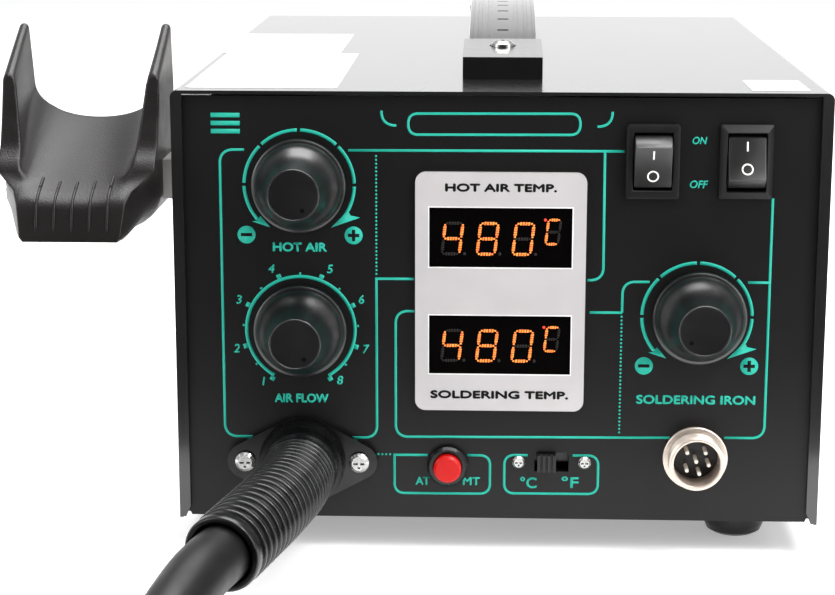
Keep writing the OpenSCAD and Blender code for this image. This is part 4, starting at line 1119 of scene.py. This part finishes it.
rows = [holder_row(0.0, k / 6, False) for k in range(7)]
rows += [holder_row(part / 13, 1.0, False) for part in range(1, 13)]
rows += [holder_row(1.0, 1 - k / 4, True) for k in range(5)]
verts, faces = [], []
for inner, outer in rows:
    verts += [at(HOLDER_X + p[0], p[1], p[2]) for p in inner + outer[::-1]]
count = len(verts) // len(rows)
for j in range(len(rows) - 1):
    faces += ring_band(j, j + 1, count)
for row, front in ((0, True), (len(rows) - 1, False)):
    inner, outer = rows[row]
    across = len(inner)
    lines = [[row * count + i for i in range(across)]]
    for step in range(1, CAP_ROWS):
        lines.append(list(range(len(verts), len(verts) + across)))
        for p, q in zip(inner, outer):
            x, y, z = [p[k] + (q[k] - p[k]) * step / CAP_ROWS for k in range(3)]
            verts.append(at(HOLDER_X + x, front_y(z) if front else y, z))
    lines.append([row * count + count - 1 - i for i in range(across)])
    for a, b in zip(lines, lines[1:]):
        faces += [(a[i], a[i + 1], b[i + 1], b[i]) for i in range(across - 1)]
holder = add_piece("handpiece_holder", verts, faces, FINISH["cradle_plastic"], crease=50)
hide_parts("cradle")

# five moulded ridges from the trough's floor over the lip and down its front
RIDGE_SIDES = 10
for number in range(5):
    x = 0.5 + 5 * (number - 2)
    path = [Vector((x, y, trough_height(x, y))) for y in (-5.5, -7.5, -9.5)]
    for step in range(6, -1, -1):
        a = math.pi / 2 * step / 6
        shift = lip_radius(ARM_ROWS + FLOOR_ROWS) * (1 - math.cos(a))
        y = depth_of(lambda y: trough_height(x, y), 0, shift, 0)
        z = trough_height(x, y) - lip_radius(ARM_ROWS + FLOOR_ROWS) * (1 - math.sin(a))
        path.append(Vector((x, front_y(z) + shift, z)))
    path += [Vector((x, front_y(z), z)) for z in (102.6, 101.2, 99.8, 98.4)]
    verts, faces = [], []
    for i, p in enumerate(path):
        heading = (path[min(i + 1, len(path) - 1)] - path[max(i - 1, 0)]).normalized()
        side = Vector((1, 0, 0))
        up = heading.cross(side).normalized()
        r = 0.15 if i in (0, len(path) - 1) else 0.42
        for k in range(RIDGE_SIDES):
            across, rise = circle_point(1, k, RIDGE_SIDES)
            q = p + r * (across * side + rise * up)
            verts.append(at(HOLDER_X + q.x, q.y, q.z))
    for j in range(len(path) - 1):
        faces += ring_band(j, j + 1, RIDGE_SIDES)
    faces += [tuple(range(RIDGE_SIDES)), tuple(range(len(verts) - RIDGE_SIDES, len(verts)))]
    add_piece(f"holder_ridge_{number + 1}", verts, faces, FINISH["cradle_plastic"],
              crease=50)

# ------------------------------------------------------------------ blank labels on the top

paper = Sheet()
for x0, y0, x1, y1 in ((-90.2, 6.2, -46.6, 102.4), (-92.4, 103.0, -52.8, 170.5), (71, 5, 87.4, 31)):
    half_x, half_y = (x1 - x0) / 2, (y1 - y0) / 2
    corners = rect_loop(x1 - x0, y1 - y0, 1.2)
    paper.polygon([(x0 + (x + half_x), y0 + (y + half_y)) for x, y in corners])
paper.make("top_labels", PAPER, 0.12, place=lambda x, y, out: at(x, y, CASE_TOP + out), thick=0.1)

# ------------------------------------------------------------------ floor and light


def backdrop(name, corners, finish, camera_sees=True):
    mesh = bpy.data.meshes.new(name)
    mesh.from_pydata([Vector(c) for c in corners], [], [(0, 1, 2, 3)])
    mesh.materials.append(finish)
    card = bpy.data.objects.new(name, mesh)
    scene.collection.objects.link(card)
    card.visible_camera = camera_sees
    return card


FLOOR = material("floor", (250, 250, 250), 0.7, spec=0.1, tone=0.005, tone_mm=400, grain_mm=2, grain=0.01)
floor_shader = FLOOR.node_tree.nodes["Principled BSDF"].inputs
floor_shader["Emission Color"].default_value = (1, 1, 1, 1)
floor_shader["Emission Strength"].default_value = 0.35
backdrop("floor", [(-6, -6, -0.0002), (6, -6, -0.0002), (6, 6, -0.0002), (-6, 6, -0.0002)], FLOOR)
DARK_CARD = material("dark_card", (8, 8, 8), 0.9, spec=0.0, tone=0.01, tone_mm=100, grain_mm=5, grain=0.01)
side, low = 0.34, 0.0004
near, far = -1.5, ORIGIN.y - 0.1
# dark cards that only reflections see
for name, corners in (
    ("front_flag", [(-1.2, near, 0.0), (1.2, near, 0.0), (1.2, -1.3, 1.7), (-1.2, -1.3, 1.7)]),
    ("floor_flag", [(-side, near, low), (side, near, low), (side, far, low), (-side, far, low)]),
):
    flag = backdrop(name, corners, DARK_CARD, camera_sees=False)
    flag.visible_diffuse = False
    flag.visible_shadow = False

world = bpy.data.worlds.new("studio")
world.use_nodes = True
world.node_tree.nodes["Background"].inputs["Color"].default_value = (1, 1, 1, 1)
world.node_tree.nodes["Background"].inputs["Strength"].default_value = 0.5
scene.world = world


def soft_light(name, place, target, size, power):
    data = bpy.data.lights.new(name, "AREA")
    data.shape = "RECTANGLE"
    data.size, data.size_y = size
    data.energy = power
    lamp = bpy.data.objects.new(name, data)
    lamp.location = place
    lamp.rotation_euler = (Vector(target) - Vector(place)).to_track_quat("-Z", "Y").to_euler()
    lamp.visible_camera = False
    scene.collection.objects.link(lamp)


soft_light("overhead_softbox", (0.05, 0.38, 1.2), (0.05, 0.3, 0.0), (0.9, 1.0), 22)
soft_light("front_softbox", (0.3, -0.75, 1.25), (0.0, 0.0, 0.05), (0.5, 0.4), 2.5)
soft_light("key_softbox", (0.55, -0.3, 0.95), (0.0, 0.08, 0.09), (0.3, 0.3), 6)
soft_light("left_softbox", (-1.2, -0.5, 0.5), (0.0, 0.0, 0.08), (0.35, 0.9), 5)
soft_light("right_softbox", (1.2, -0.5, 0.55), (0.0, 0.0, 0.08), (0.35, 0.8), 6)
soft_light("rear_softbox", (0.0, 1.7, 0.55), (0.0, 0.0, 0.16), (3.2, 1.1), 7)
